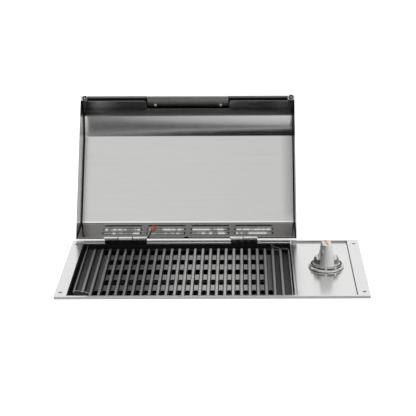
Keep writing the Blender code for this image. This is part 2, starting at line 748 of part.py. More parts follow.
def build_tub():
    """Black enamelled firebox: a rim, a ledge for the grate and a well for the element."""
    t = TUB_SHEET
    upper = (TUB_LEFT, TUB_FRONT, TUB_RIGHT, TUB_REAR)
    well_top = (WELL_LEFT, WELL_FRONT, WELL_RIGHT, WELL_REAR)
    well_low = (WELL_LEFT + TUB_TAPER, WELL_FRONT + TUB_TAPER, WELL_RIGHT, WELL_REAR - TUB_TAPER)
    grown = [(a - t, b - t, c + t, d + t) for a, b, c, d in (upper, well_top, well_low)]
    rim_top = TUB_FLANGE_SHEET
    tub = tapered_box("firebox_tub", grown[0], grown[0], rim_top, TUB_LEDGE_LEVEL - t)
    well = tapered_box("tub_well", grown[1], grown[2], TUB_LEDGE_LEVEL - t / 2, TUB_FLOOR - t)
    seat = GAP + CASING_SHEET
    flange = box("tub_flange", (-CASING_X + seat, -CASING_Y + seat, 0.0),
                 (TUB_RIGHT + TUB_RIGHT_FLANGE, TUB_REAR + t, rim_top))
    mouth = tapered_box("tub_mouth_cut", upper, upper, OVERRUN, TUB_LEDGE_LEVEL)
    hollow = tapered_box("tub_hollow_cut", well_top, well_low, TUB_LEDGE_LEVEL + t, TUB_FLOOR)
    cutters = [mouth, hollow]
    level = GRATE_TOP - ELEMENT_DROP
    for y in (element_rows()[0], element_rows()[-1]):
        cutters.append(round_bar("tub_element_cut", (WELL_RIGHT - OVERRUN, y, level),
                                 (WELL_RIGHT + OVERRUN, y, level), ELEMENT_RADIUS + GAP))
    follow(GRILL, well, flange, *cutters)
    join(tub, well, flange)
    sub_part(cut(tub, *cutters), GRILL, BLACK_ENAMEL)


def slot_columns(valleys, skipped):
    """Valley middles that carry a slot, leaving out some at each side."""
    middle = (GRATE_LEFT + GRATE_RIGHT) / 2
    return [middle + (2 * i + 1 - valleys) * RIDGE_PITCH / 2
            for i in range(skipped, valleys - skipped)]


def finger_notch(corner_x, corner_y, side_x, side_y, grow=0.0):
    """Quarter ellipse at a corner of the grate."""
    return [(corner_x + side_x * (FINGER_WIDTH + grow) * math.cos(math.pi / 2 * i / FINGER_STEPS),
             corner_y + side_y * (FINGER_LENGTH + grow) * math.sin(math.pi / 2 * i / FINGER_STEPS))
            for i in range(FINGER_STEPS + 1)]


def build_grate():
    """Cast cooking grate: a slotted plate with long ridges and two finger cut-outs."""
    width = GRATE_RIGHT - GRATE_LEFT
    valleys = round(width / RIDGE_PITCH)
    row_middle = (GRATE_FRONT + GRATE_REAR) / 2 + SLOT_ROW_SHIFT
    holes = []
    for row in range(SLOT_ROWS):
        y = row_middle + (row - (SLOT_ROWS - 1) / 2) * SLOT_ROW_PITCH
        edge_row = row in (0, SLOT_ROWS - 1)
        skipped = PLAIN_VALLEY_COUNT if edge_row else PLAIN_VALLEY_COUNT + 1
        for x in slot_columns(valleys, skipped):
            holes.append(stadium((x, y), SLOT_LENGTH, SLOT_WIDTH, SLOT_END_STEPS, along_y=True))
    middle = (GRATE_LEFT + GRATE_RIGHT) / 2
    low = GRATE_TOP - GRATE_PLATE
    border = GRATE_TOP + BORDER_HEIGHT
    crest = GRATE_TOP + RIDGE_HEIGHT
    section = [(GRATE_RIGHT, low), (GRATE_RIGHT, border), (GRATE_RIGHT - BORDER_WIDTH, border),
               (GRATE_RIGHT - BORDER_WIDTH, GRATE_TOP)]
    for i in reversed(range(1, valleys)):
        x = middle + (i - valleys / 2) * RIDGE_PITCH
        section += [(x + RIDGE_BASE / 2, GRATE_TOP), (x + RIDGE_TOP / 2, crest),
                    (x - RIDGE_TOP / 2, crest), (x - RIDGE_BASE / 2, GRATE_TOP)]
    section += [(GRATE_LEFT + BORDER_WIDTH, GRATE_TOP), (GRATE_LEFT + BORDER_WIDTH, border),
                (GRATE_LEFT, border), (GRATE_LEFT, low)]
    grate = prism_back("cooking_grate", section, GRATE_FRONT, GRATE_REAR)
    inner_left = GRATE_LEFT + BORDER_WIDTH + GAP
    inner_right = GRATE_RIGHT - BORDER_WIDTH - GAP
    high = crest + OVERRUN
    ground = GRATE_TOP + GAP
    rear = GRATE_REAR - RIDGE_REAR_INSET
    front = GRATE_FRONT + RIDGE_FRONT_INSET
    rear_slope = prism("ridge_rear_cut", [(rear - RIDGE_END_TAPER, high), (rear - RIDGE_END_TAPER, crest),
                                          (rear, ground), (GRATE_REAR + OVERRUN, ground),
                                          (GRATE_REAR + OVERRUN, high)], inner_left, inner_right)
    front_face = box("ridge_front_cut", (inner_left, GRATE_FRONT - OVERRUN, ground),
                     (inner_right, front, high))
    slots = plate("grate_slots_cut", holes[0], low - OVERRUN, high, holes[1:])
    rims = []
    cutters = []
    for corner_x, corner_y, side in ((GRATE_LEFT, GRATE_FRONT, 1), (GRATE_RIGHT, GRATE_REAR, -1)):
        near_x = corner_x + side * GAP
        near_y = corner_y + side * GAP
        outer = finger_notch(near_x, near_y, side, side, FINGER_RIM)
        rims.append(plate("grate_finger_rim", outer + [(near_x, near_y)], GRATE_TOP - GRATE_LIFT_BITE,
                          GRATE_TOP + FINGER_RIM_HEIGHT))
        beyond_x = corner_x - side * OVERRUN
        beyond_y = corner_y - side * OVERRUN
        hole = finger_notch(corner_x, corner_y, side, side)
        hole += [(beyond_x, corner_y + side * FINGER_LENGTH), (beyond_x, beyond_y),
                 (corner_x + side * FINGER_WIDTH, beyond_y)]
        cutters.append(plate("grate_finger_cut", hole, low - OVERRUN, high))
    follow(GRILL, rear_slope, front_face, slots, *rims, *cutters)
    cut(grate, rear_slope, front_face, slots)
    join(grate, *rims)
    return sub_part(cut(grate, *cutters), GRILL, GRATE_CASTING)


def build_element():
    """Sheathed heating element, its terminal plates and the two bars that it lies on."""
    rows = element_rows()
    level = GRATE_TOP - ELEMENT_DROP
    left = WELL_LEFT + ELEMENT_LEFT_MARGIN
    right = WELL_RIGHT - ELEMENT_RIGHT_MARGIN
    out = WELL_RIGHT + TUB_SHEET + ELEMENT_TAIL
    radius = ELEMENT_PITCH / 2
    points = [(out, rows[0])]
    for i, (y, following) in enumerate(zip(rows, rows[1:])):
        middle = (y + following) / 2
        if i % 2 == 0:
            points += arc((left, middle), radius, math.pi / 2, 3 * math.pi / 2, ELEMENT_BEND_STEPS)
        else:
            points += arc((right, middle), radius, math.pi / 2, -math.pi / 2, ELEMENT_BEND_STEPS)
    points.append((out, rows[-1]))
    sheath = tube("heating_element", [(x, y, level) for x, y in points], ELEMENT_RADIUS)
    pins = [round_bar("element_pin", (out - OVERRUN, y, level), (out + TERMINAL_PIN_LENGTH, y, level),
                      TERMINAL_PIN_RADIUS, steps=8) for y in (rows[0], rows[-1])]
    follow(GRILL, *pins)
    sub_part(join(sheath, *pins), GRILL, ELEMENT_ALLOY, smooth=True)
    face = WELL_RIGHT + TUB_SHEET + GAP
    for name, y in (("terminal_plate_rear", rows[0]), ("terminal_plate_front", rows[-1])):
        half = TERMINAL_PLATE_SIZE / 2
        body = box(name, (face, y - half, level - half),
                   (face + TERMINAL_PLATE_THICKNESS, y + half, level + half))
        hole = round_bar("terminal_plate_cut", (face - OVERRUN, y, level),
                         (face + OVERRUN, y, level), ELEMENT_RADIUS + GAP)
        follow(GRILL, hole)
        sub_part(cut(body, hole), GRILL, ZINC)
    low = level - SUPPORT_HEIGHT
    seat = ELEMENT_RADIUS + GAP
    top_half = tub_inner_half(level) - GAP
    low_half = tub_inner_half(low) - GAP
    outline = [(-low_half, low), (low_half, low), (top_half, level)]
    for y in rows:
        outline += arc((y, level), seat, 0.0, -math.pi, SUPPORT_SEAT_STEPS)
    outline.append((-top_half, level))
    for name, x in (("element_support_left", WELL_LEFT + SUPPORT_INSET),
                    ("element_support_right", WELL_RIGHT - SUPPORT_INSET)):
        bar = prism(name, outline, x - SUPPORT_THICKNESS / 2, x + SUPPORT_THICKNESS / 2)
        sub_part(bar, GRILL, SATIN_STEEL)


def build_tray():
    """Drip tray that stands on the floor of the well."""
    foot = TUB_FLOOR + GAP
    half = tub_inner_half(TUB_FLOOR) - TRAY_END_MARGIN
    base = (WELL_LEFT + TUB_TAPER + TRAY_SIDE_MARGIN, -half, WELL_RIGHT - TRAY_SIDE_MARGIN, half)
    inner = (base[0] + TRAY_SHEET, base[1] + TRAY_SHEET, base[2] - TRAY_SHEET, base[3] - TRAY_SHEET)
    tray = tapered_box("drip_tray", base, base, foot + TRAY_HEIGHT, foot)
    lip = box("tray_lip", (base[0] - TRAY_LIP, base[1] - TRAY_LIP, foot + TRAY_HEIGHT - TRAY_SHEET),
              (base[2] + TRAY_LIP, base[3] + TRAY_LIP, foot + TRAY_HEIGHT))
    hollow = tapered_box("tray_hollow_cut", inner, inner, foot + TRAY_HEIGHT + OVERRUN,
                         foot + TRAY_SHEET)
    follow(GRILL, lip, hollow)
    join(tray, lip)
    sub_part(cut(tray, hollow), GRILL, SATIN_STEEL)


def build_regulator():
    """Heat regulator under the panel, with the cam that its shaft turns."""
    top = FLOOR_UNDER - GAP
    low = top - REGULATOR_HEIGHT
    at = (KNOB_X, KNOB_Y)
    body = box("heat_regulator", (KNOB_X - REGULATOR_WIDTH / 2, KNOB_Y - REGULATOR_DEPTH / 2, low),
               (KNOB_X + REGULATOR_WIDTH / 2, KNOB_Y + REGULATOR_DEPTH / 2, top))
    neck = round_bar("regulator_neck", (*at, top - OVERRUN), (*at, top + GAP + FASCIA_SHEET + NECK_RISE),
                     NECK_RADIUS)
    chamber = round_bar("chamber_cut", (*at, low - OVERRUN), (*at, top - REGULATOR_CHAMBER_ROOF),
                        REGULATOR_CHAMBER_RADIUS)
    bore = round_bar("neck_bore_cut", (*at, low), (*at, top + REGULATOR_HEIGHT), SHAFT_RADIUS + GAP)
    follow(GRILL, neck, chamber, bore)
    join(body, neck)
    sub_part(cut(body, chamber, bore), GRILL, BLACK_PLASTIC)
    cam_top = top - REGULATOR_CHAMBER_ROOF - GAP
    spindle = make_empty("knob_spindle", GRILL, (KNOB_X, KNOB_Y, 0.0))
    cam = round_bar("regulator_cam", (0, 0, cam_top - CAM_HEIGHT), (0, 0, cam_top), CAM_RADIUS)
    cam_bore = round_bar("cam_bore_cut", (0, 0, cam_top - CAM_HEIGHT - OVERRUN),
                         (0, 0, cam_top + OVERRUN), SHAFT_RADIUS + GAP)
    notch = box("cam_notch_cut", (-CAM_NOTCH_WIDTH / 2, CAM_RADIUS - CAM_NOTCH_DEPTH, cam_top - OVERRUN),
                (CAM_NOTCH_WIDTH / 2, CAM_RADIUS + OVERRUN, cam_top + OVERRUN))
    follow(spindle, cam_bore, notch)
    sub_part(cut(cam, cam_bore, notch), spindle, PALE_CERAMIC)
    shaft = round_bar("regulator_shaft", (0, 0, -SHAFT_BELOW), (0, 0, KNOB_FOOT + KNOB_BORE_RISE - GAP),
                      SHAFT_RADIUS)
    sub_part(shaft, spindle, SATIN_STEEL, smooth=True)
    return spindle


def build_knob(spindle):
    """Grip knob with a tall fin between two low horns, its pointer and the ring below it."""
    foot = KNOB_FOOT
    profile = [(0.0, foot + KNOB_HORN_RISE), (KNOB_HORN_RADIUS, foot + KNOB_HORN_RISE),
               (KNOB_WAIST_RADIUS, foot + KNOB_WAIST_RISE), (KNOB_BASE_RADIUS, foot + KNOB_EDGE),
               (KNOB_BASE_RADIUS - KNOB_EDGE, foot), (0.0, foot)]
    knob = turned("knob", profile)
    half_base = KNOB_FIN_BASE_WIDTH / 2
    half_top = KNOB_FIN_TOP_WIDTH / 2
    long_base = KNOB_FIN_BASE_LENGTH / 2
    long_top = KNOB_FIN_TOP_LENGTH / 2
    fin = tapered_box("knob_fin", (-half_top, -long_top, half_top, long_top),
                      (-half_base, -long_base, half_base, long_base), KNOB_TOP, foot + KNOB_EDGE)
    round_edges(fin, KNOB_VALLEY_RADIUS / 2)
    cutters = []
    for side in (-1, 1):
        middle = foot + KNOB_VALLEY_RISE + KNOB_VALLEY_RADIUS
        cutters.append(round_bar("knob_valley_cut",
                                 (side * KNOB_VALLEY_OFFSET, -KNOB_BASE_RADIUS - OVERRUN, middle),
                                 (side * KNOB_VALLEY_OFFSET, KNOB_BASE_RADIUS + OVERRUN, middle),
                                 KNOB_VALLEY_RADIUS))
    bore = round_bar("knob_bore_cut", (0, 0, foot - OVERRUN), (0, 0, foot + KNOB_BORE_RISE),
                     SHAFT_RADIUS + GAP)
    undercut = round_bar("knob_undercut", (0, 0, foot - OVERRUN), (0, 0, foot + KNOB_UNDERCUT),
                         KNOB_UNDERCUT_RADIUS, steps=ROUND_STEPS)
    sunk = POINTER_WIDTH / 2 + GAP
    long = POINTER_LENGTH / 2 + GAP
    turn = Matrix.Rotation(POINTER_TURN, 4, 'Z')
    groove = box("pointer_groove_cut", (-sunk, -long, KNOB_TOP - POINTER_SINK),
                 (sunk, long, KNOB_TOP + OVERRUN))
    groove.data.transform(turn)
    cutters += [bore, undercut, groove]
    follow(spindle, fin, *cutters)
    cut(knob, *cutters[:2])
    join(knob, fin)
    sub_part(cut(knob, *cutters[2:]), spindle, KNOB_METAL, smooth=True)
    base = KNOB_TOP - POINTER_SINK + GAP
    pointer = box("knob_pointer", (-POINTER_WIDTH / 2, -POINTER_LENGTH / 2, base),
                  (POINTER_WIDTH / 2, POINTER_LENGTH / 2, base + POINTER_THICKNESS))
    pointer.data.transform(turn)
    sub_part(pointer, spindle, ORANGE_RED)
    build_ring(spindle)


def round_edges(obj, radius):
    """Round every edge of a simple mesh."""
    bm = bmesh.new()
    bm.from_mesh(obj.data)
    bmesh.ops.bevel(bm, geom=list(bm.edges), offset=radius, affect='EDGES',
                    segments=CORNER_STEPS, profile=0.5, material=-1)
    bm.to_mesh(obj.data)
    bm.free()


def build_ring(spindle):
    """Ring round the knob, with a row of curved slots inside its rounded lip."""
    seat = FLOOR_TOP + GAP
    hole = NECK_RADIUS + GAP
    profile = [(hole, seat + RING_SHELF_RISE), (RING_SHELF_RADIUS, seat + RING_SHELF_RISE),
               (RING_CROWN_RADIUS, seat + RING_TOP_RISE), (RING_RADIUS, seat + RING_LIP_RISE),
               (RING_FOOT_RADIUS, seat), (RING_FOOT_RADIUS - RING_WALL, seat),
               (RING_SHELF_RADIUS - RING_WALL, seat + RING_SHELF_RISE - RING_WALL),
               (hole, seat + RING_SHELF_RISE - RING_WALL)]
    ring = turned("knob_bezel", profile)
    sweep = 2 * math.pi / RING_SLOTS
    outlines = []
    for i in range(RING_SLOTS):
        start = i * sweep + sweep * (1 - RING_SLOT_SHARE) / 2
        end = start + sweep * RING_SLOT_SHARE
        outlines.append(arc((0.0, 0.0), RING_SLOT_OUTER, start, end, RING_SLOT_STEPS)
                        + arc((0.0, 0.0), RING_SLOT_INNER, end, start, RING_SLOT_STEPS))
    slots = plate("ring_slots_cut", outlines[0], seat - OVERRUN, seat + RING_TOP_RISE + OVERRUN,
                  outlines[1:])
    follow(spindle, slots)
    cut(ring, slots)
    sub_part(ring, spindle, POLISHED_STEEL, smooth=True)


def hood_outline():
    """Side view of the hood's outside, from the rear rim over the roof to the front rim."""
    rear = LID_REAR_OVERHANG
    front = rear - LID_LENGTH
    return [(rear, 0.0), (rear - LID_DEPTH / math.tan(LID_REAR_SLOPE), LID_DEPTH),
            (front + LID_ROOF_SETBACK, LID_DEPTH), (front + LID_KNEE_SETBACK, LID_KNEE_DEPTH),
            (front, 0.0)]


def rear_wall_point(depth, inward):
    """Place on the rear wall at a depth, moved inwards by a distance."""
    across = Vector((-math.sin(LID_REAR_SLOPE), -math.cos(LID_REAR_SLOPE)))
    foot = Vector((LID_REAR_OVERHANG - depth / math.tan(LID_REAR_SLOPE), depth))
    return foot + across * inward


def front_wall_point(depth, inward):
    """Place on the front wall at a depth, moved inwards by a distance."""
    lean = LID_KNEE_SETBACK / LID_KNEE_DEPTH
    foot = Vector((LID_REAR_OVERHANG - LID_LENGTH + lean * depth, depth))
    return foot + Vector((1.0, -lean)).normalized() * inward


def louvre_cutters(name):
    """Slots through the rear wall of the shell and the liner."""
    cutters = []
    along = Vector((-math.cos(LID_REAR_SLOPE), math.sin(LID_REAR_SLOPE)))
    across = Vector((-math.sin(LID_REAR_SLOPE), -math.cos(LID_REAR_SLOPE)))
    for depth in LOUVRE_DEPTHS:
        for i in range(LOUVRE_COUNT):
            x = LID_LEFT + LOUVRE_LEFT + LOUVRE_LENGTH / 2 + i * LOUVRE_PITCH
            outline = stadium((0.0, 0.0), LOUVRE_LENGTH, LOUVRE_HEIGHT, LOUVRE_END_STEPS, along_y=False)
            slot = flat_outline(name, outline, 2 * OVERRUN + LINER_REAR_GAP)
            y, z = rear_wall_point(depth, LINER_REAR_GAP / 2)
            slot.data.transform(Matrix(((1, 0, 0, x), (0, along.x, across.x, y),
                                        (0, along.y, across.y, z), (0, 0, 0, 1))))
            cutters.append(slot)
    return cutters


def handle_places():
    return (LID_MIDDLE - HANDLE_SPACING / 2, LID_MIDDLE + HANDLE_SPACING / 2)


def hinge_rooms(name):
    """Room for the hinge barrels in the rear edges of the shell and the liner."""
    reach = BARREL_RADIUS + LID_NOTCH_MARGIN
    return [box(name, (start - LID_NOTCH_MARGIN, -reach, -OVERRUN),
                (start + sum(knuckles) + LID_NOTCH_MARGIN, reach, LID_NOTCH_RISE))
            for start, knuckles in ((LEFT_HINGE_X, LEFT_KNUCKLES), (RIGHT_HINGE_X, RIGHT_KNUCKLES))]


def build_shell():
    """Folded outer skin of the hood with two front corner tabs, hinge notches and louvres."""
    t = LID_SHEET
    outline = hood_outline()
    room = inset_outline(outline, [t] * len(outline))
    shell = prism("lid_shell", folded(outline, FOLD_RADIUS + t), LID_LEFT, LID_RIGHT)
    inside = prism("lid_inside_cut", folded(room, FOLD_RADIUS), LID_LEFT + t, LID_RIGHT - t)
    front = LID_REAR_OVERHANG - LID_LENGTH
    tabs = front + CORNER_TAB_DEPTH
    mouth = box("lid_mouth_cut", (LID_LEFT + t, tabs, -OVERRUN), (LID_RIGHT - t, room[0][0], t + GAP))
    front_gap = box("lid_front_cut", (LID_LEFT + CORNER_TAB_WIDTH, front + t, -OVERRUN),
                    (LID_RIGHT - CORNER_TAB_WIDTH, tabs + OVERRUN, t + GAP))
    cutters = [inside, mouth, front_gap] + louvre_cutters("shell_louvre_cut")
    cutters += hinge_rooms("shell_hinge_cut")
    hole = HANDLE_SCREW_RADIUS + GAP
    for x in handle_places():
        cutters.append(wall_bar("shell_handle_cut", x, -OVERRUN, OVERRUN, hole))
    for x, _length in buffer_places():
        y = LID_REAR_OVERHANG - LID_LENGTH + BUFFER_FRONT_INSET
        cutters.append(round_bar("shell_buffer_cut", (x, y, -OVERRUN), (x, y, t + GAP),
                                 BUFFER_STEM_RADIUS + GAP, steps=SMALL_ROUND_STEPS))
    follow(LID_PIVOT, *cutters)
    sub_part(cut(shell, *cutters), LID_PIVOT, BRUSHED_STEEL)


def wall_bar(name, x, start, end, radius, steps=SMALL_ROUND_STEPS):
    """Bar square to the front wall at the handle's level; distances count inwards."""
    y1, z1 = front_wall_point(HANDLE_ROOT_DEPTH, start)
    y2, z2 = front_wall_point(HANDLE_ROOT_DEPTH, end)
    return round_bar(name, (x, y1, z1), (x, y2, z2), radius, steps=steps)


def plate_notch(name):
    """Room for the handle plate in the liner: flared at the rim, round in its two corners."""
    half = HANDLE_NOTCH_LENGTH / 2
    mouth = half + HANDLE_NOTCH_FLARE
    r = HANDLE_NOTCH_RADIUS
    corner = arc((half - r, HANDLE_NOTCH_DEPTH - r), r, 0.0, math.pi / 2, CORNER_STEPS)
    right = [(mouth, -OVERRUN), (mouth, LID_SHEET), (half, HANDLE_NOTCH_FLARE_DEPTH)] + corner
    left = [(-x, depth) for x, depth in reversed(right)]
    front = LID_REAR_OVERHANG - LID_LENGTH
    notch = prism_back(name, right + left, front - OVERRUN, front + LID_LENGTH / 4)
    notch.data.transform(Matrix.Translation((LID_MIDDLE, 0, 0)))
    return notch


def build_liner():
    """Inner skin of the hood: a folded sheet that stops short of the side walls."""
    outline = hood_outline()
    gaps = [LINER_REAR_GAP, LINER_ROOF_GAP, LINER_SLOPE_GAP, LINER_FRONT_GAP, LID_SHEET + GAP]
    outer = inset_outline(outline, gaps)
    s = LINER_SHEET
    inner = inset_outline(outline, [g + s for g in gaps[:4]] + [-OVERRUN])
    liner = prism("lid_liner", folded(outer, FOLD_RADIUS + s), LID_LEFT + LINER_SIDE_GAP,
                  LID_RIGHT - LINER_SIDE_GAP)
    hollow = prism("liner_hollow_cut", folded(inner, FOLD_RADIUS), LID_LEFT - OVERRUN,
                   LID_RIGHT + OVERRUN)
    slot = box("liner_slot_cut", (LID_MIDDLE - LINER_SLOT_LENGTH / 2, -OVERRUN, -OVERRUN),
               (LID_MIDDLE + LINER_SLOT_LENGTH / 2, OVERRUN, LINER_SLOT_DEPTH))
    cutters = [hollow, slot, plate_notch("liner_plate_cut")]
    cutters += louvre_cutters("liner_louvre_cut") + hinge_rooms("liner_hinge_cut")
    follow(LID_PIVOT, *cutters)
    sub_part(cut(liner, *cutters), LID_PIVOT, BRUSHED_STEEL)


def build_handle():
    """Bent rod handle outside the front wall, its inner plate and two screws."""
    half = HANDLE_PLATE_LENGTH / 2
    t = HANDLE_PLATE_SHEET
    start = LID_SHEET + GAP
    outline = [tuple(front_wall_point(GAP, start)),
               tuple(front_wall_point(GAP, start + t)),
               tuple(front_wall_point(HANDLE_PLATE_HEIGHT, start + t)),
               tuple(front_wall_point(HANDLE_PLATE_HEIGHT, start))]
    inner_plate = prism("handle_mount_plate", outline, LID_MIDDLE - half, LID_MIDDLE + half)
    holes = [wall_bar("plate_screw_cut", x, 0.0, OVERRUN + t, HANDLE_SCREW_RADIUS + GAP)
             for x in handle_places()]
    follow(LID_PIVOT, *holes)
    sub_part(cut(inner_plate, *holes), LID_PIVOT, SATIN_STEEL)
    left, right = handle_places()
    root = front_wall_point(HANDLE_ROOT_DEPTH, -GAP)
    out = front_wall_point(HANDLE_ROOT_DEPTH, -HANDLE_ROOT_OUT)
    grip = root + Vector((-HANDLE_REACH, HANDLE_CLIMB))
    bend = HANDLE_ROOT_OUT
    side = [(0.0, root), (0.0, out)]
    route = []
    for x, inward in ((left, 1), (right, -1)):
        leg = [Vector((x, p.x, p.y)) for _, p in side]
        corner = Vector((x, grip.x, grip.y))
        before = corner + (leg[1] - corner).normalized() * bend
        after = corner + Vector((inward * bend, 0.0, 0.0))
        turn = [(before * (1 - k) ** 2 + corner * (2 * k * (1 - k)) + after * k * k)
                for k in (i / HANDLE_BEND_STEPS for i in range(HANDLE_BEND_STEPS + 1))]
        points = leg + turn
        route += points if inward > 0 else list(reversed(points))
    handle = tube("lid_handle", route, HANDLE_RADIUS, 3)
    bores = [wall_bar("handle_bore_cut", x, -GAP - HANDLE_SCREW_BITE - GAP, OVERRUN,
                      HANDLE_SCREW_RADIUS + GAP) for x in handle_places()]
    follow(LID_PIVOT, *bores)
    sub_part(cut(handle, *bores), LID_PIVOT, POLISHED_STEEL, smooth=True)
    face = start + t + GAP
    for name, x in (("handle_screw_left", left), ("handle_screw_right", right)):
        head = wall_bar(name, x, face, face + HANDLE_SCREW_HEAD_RISE, HANDLE_SCREW_HEAD,
                        SCREW_ROUND_STEPS)
        shank = wall_bar(name + "_shank", x, -HANDLE_SCREW_BITE, face + HANDLE_SCREW_HEAD_RISE / 2,
                         HANDLE_SCREW_RADIUS)
        follow(LID_PIVOT, shank)
        sub_part(join(head, shank), LID_PIVOT, POLISHED_STEEL, smooth=True)


def buffer_places():
    """X and length of the two buffers; the right one reaches down to the sunk panel."""
    drop = HINGE_Z - GAP
    return ((LID_LEFT + BUFFER_SIDE_INSET, drop - RIM_HEIGHT),
            (LID_RIGHT - BUFFER_RIGHT_INSET, drop - FLOOR_TOP))


def build_buffers():
    """Rubber buffers with stems that snap through the hood's hem."""
    y = LID_REAR_OVERHANG - LID_LENGTH + BUFFER_FRONT_INSET
    for name, (x, length) in zip(("buffer_left", "buffer_right"), buffer_places()):
        stem_top = LID_SHEET + GAP
        profile = [(0.0, stem_top + BUFFER_STEM_RISE), (BUFFER_STEM_RADIUS, stem_top + BUFFER_STEM_RISE),
                   (BUFFER_STEM_HEAD, stem_top), (BUFFER_STEM_RADIUS, stem_top),
                   (BUFFER_STEM_RADIUS, -GAP), (BUFFER_RADIUS, -GAP),
                   (BUFFER_RADIUS, -length + BUFFER_STEM_RADIUS / 2),
                   (BUFFER_RADIUS - BUFFER_STEM_RADIUS / 2, -length), (0.0, -length)]
        buffer = turned(name, profile, ROUND_STEPS // 2)
        buffer.data.transform(Matrix.Translation((x, y, 0.0)))
        sub_part(buffer, LID_PIVOT, DARK_RUBBER, smooth=True)


def knuckle_edges(start, knuckles):
    """X of every joint line along a hinge's barrel."""
    edges = [start]
    for length in knuckles:
        edges.append(edges[-1] + length)
    return edges


def lid_leaf(name, start, knuckles, owned):
    """Hinge leaf between the hood's two rear walls, with its own knuckles of the barrel."""
    edges = knuckle_edges(start, knuckles)
    across = Vector((-math.sin(LID_REAR_SLOPE), -math.cos(LID_REAR_SLOPE)))
    along = Vector((-math.cos(LID_REAR_SLOPE), math.sin(LID_REAR_SLOPE)))
    wall = across * -(LID_REAR_OVERHANG * math.sin(LID_REAR_SLOPE))
    far = wall + across * (LID_SHEET + GAP)
    near = far + across * LEAF_SHEET
    flat = [tuple(near), tuple(far), tuple(far + along * LEAF_LENGTH), tuple(near + along * LEAF_LENGTH)]
    leaf = prism(name, flat, start + GAP, edges[-1] - GAP)
    added = []
    cutters = [round_bar(name + "_bore_cut", (start - OVERRUN, 0, 0), (edges[-1] + OVERRUN, 0, 0),
                         BARREL_BORE)]
    for i, (left, right) in enumerate(zip(edges, edges[1:])):
        if i in owned:
            added.append(round_bar(name + "_knuckle", (left + GAP / 2, 0, 0), (right - GAP / 2, 0, 0),
                                   BARREL_RADIUS))
        else:
            room = [tuple(near + (across - along) * OVERRUN), tuple(far - (across + along) * OVERRUN),
                    tuple(far - across * OVERRUN + along * LEAF_ROOT),
                    tuple(near + across * OVERRUN + along * LEAF_ROOT)]
            cutters.append(prism(name + "_room_cut", room, left - GAP / 2, right + GAP / 2))
    follow(LID_PIVOT, *cutters, *added)
    cut(leaf, *cutters[1:])
    join(leaf, *added)
    sub_part(cut(leaf, cutters[0]), LID_PIVOT, SATIN_STEEL, smooth=True)


def frame_leaf(name, start, knuckles, owned):
    """Hinge leaf on the casing's rear wall, bent back over the rear strip to its knuckle."""
    edges = knuckle_edges(start, knuckles)
    top = HINGE_Z - LEAF_TOP_DROP
    low = top - LEAF_SHEET
    behind = HINGE_Y - BARREL_RADIUS - GAP
    outline = [(LEAF_FRONT, -LEAF_DROP), (LEAF_REAR, -LEAF_DROP), (LEAF_REAR, low),
               (HINGE_Y, low), (HINGE_Y, top), (LEAF_FRONT, top)]
    left, right = notch_span(start, knuckles)
    leaf = prism(name, outline, left + GAP, min(right, edges[-1]) - GAP)
    added = []
    cutters = [round_bar(name + "_bore_cut", (start - OVERRUN, HINGE_Y, HINGE_Z),
                         (edges[-1] + OVERRUN, HINGE_Y, HINGE_Z), BARREL_BORE)]
    for i, (a, b) in enumerate(zip(edges, edges[1:])):
        if i in owned:
            added.append(round_bar(name + "_knuckle", (a + GAP / 2, HINGE_Y, HINGE_Z),
                                   (b - GAP / 2, HINGE_Y, HINGE_Z), BARREL_RADIUS))
        else:
            cutters.append(box(name + "_room_cut", (a - GAP / 2, behind, low - OVERRUN),
                               (b + GAP / 2, HINGE_Y + OVERRUN, top + OVERRUN)))
    follow(GRILL, *cutters, *added)
    cut(leaf, *cutters[1:])
    join(leaf, *added)
    sub_part(cut(leaf, cutters[0]), GRILL, SATIN_STEEL, smooth=True)


def build_hinges():
    """Two hinges: the left one comes apart when its release pin is drawn."""
    frame_leaf("hinge_frame_leaf_left", LEFT_HINGE_X, LEFT_KNUCKLES, (1,))
    frame_leaf("hinge_frame_leaf_right", RIGHT_HINGE_X, RIGHT_KNUCKLES, (0,))
    lid_leaf("hinge_lid_leaf_left", LEFT_HINGE_X, LEFT_KNUCKLES, (0, 2))
    lid_leaf("hinge_lid_leaf_right", RIGHT_HINGE_X, RIGHT_KNUCKLES, (1,))
    end = RIGHT_HINGE_X + sum(RIGHT_KNUCKLES)
    pin = round_bar("hinge_pin_right", (RIGHT_HINGE_X + NOTCH_LEFT_MARGIN, HINGE_Y, HINGE_Z),
                    (end - NOTCH_LEFT_MARGIN, HINGE_Y, HINGE_Z), PIN_RADIUS, steps=SMALL_ROUND_STEPS)
    sub_part(pin, GRILL, POLISHED_STEEL, smooth=True)


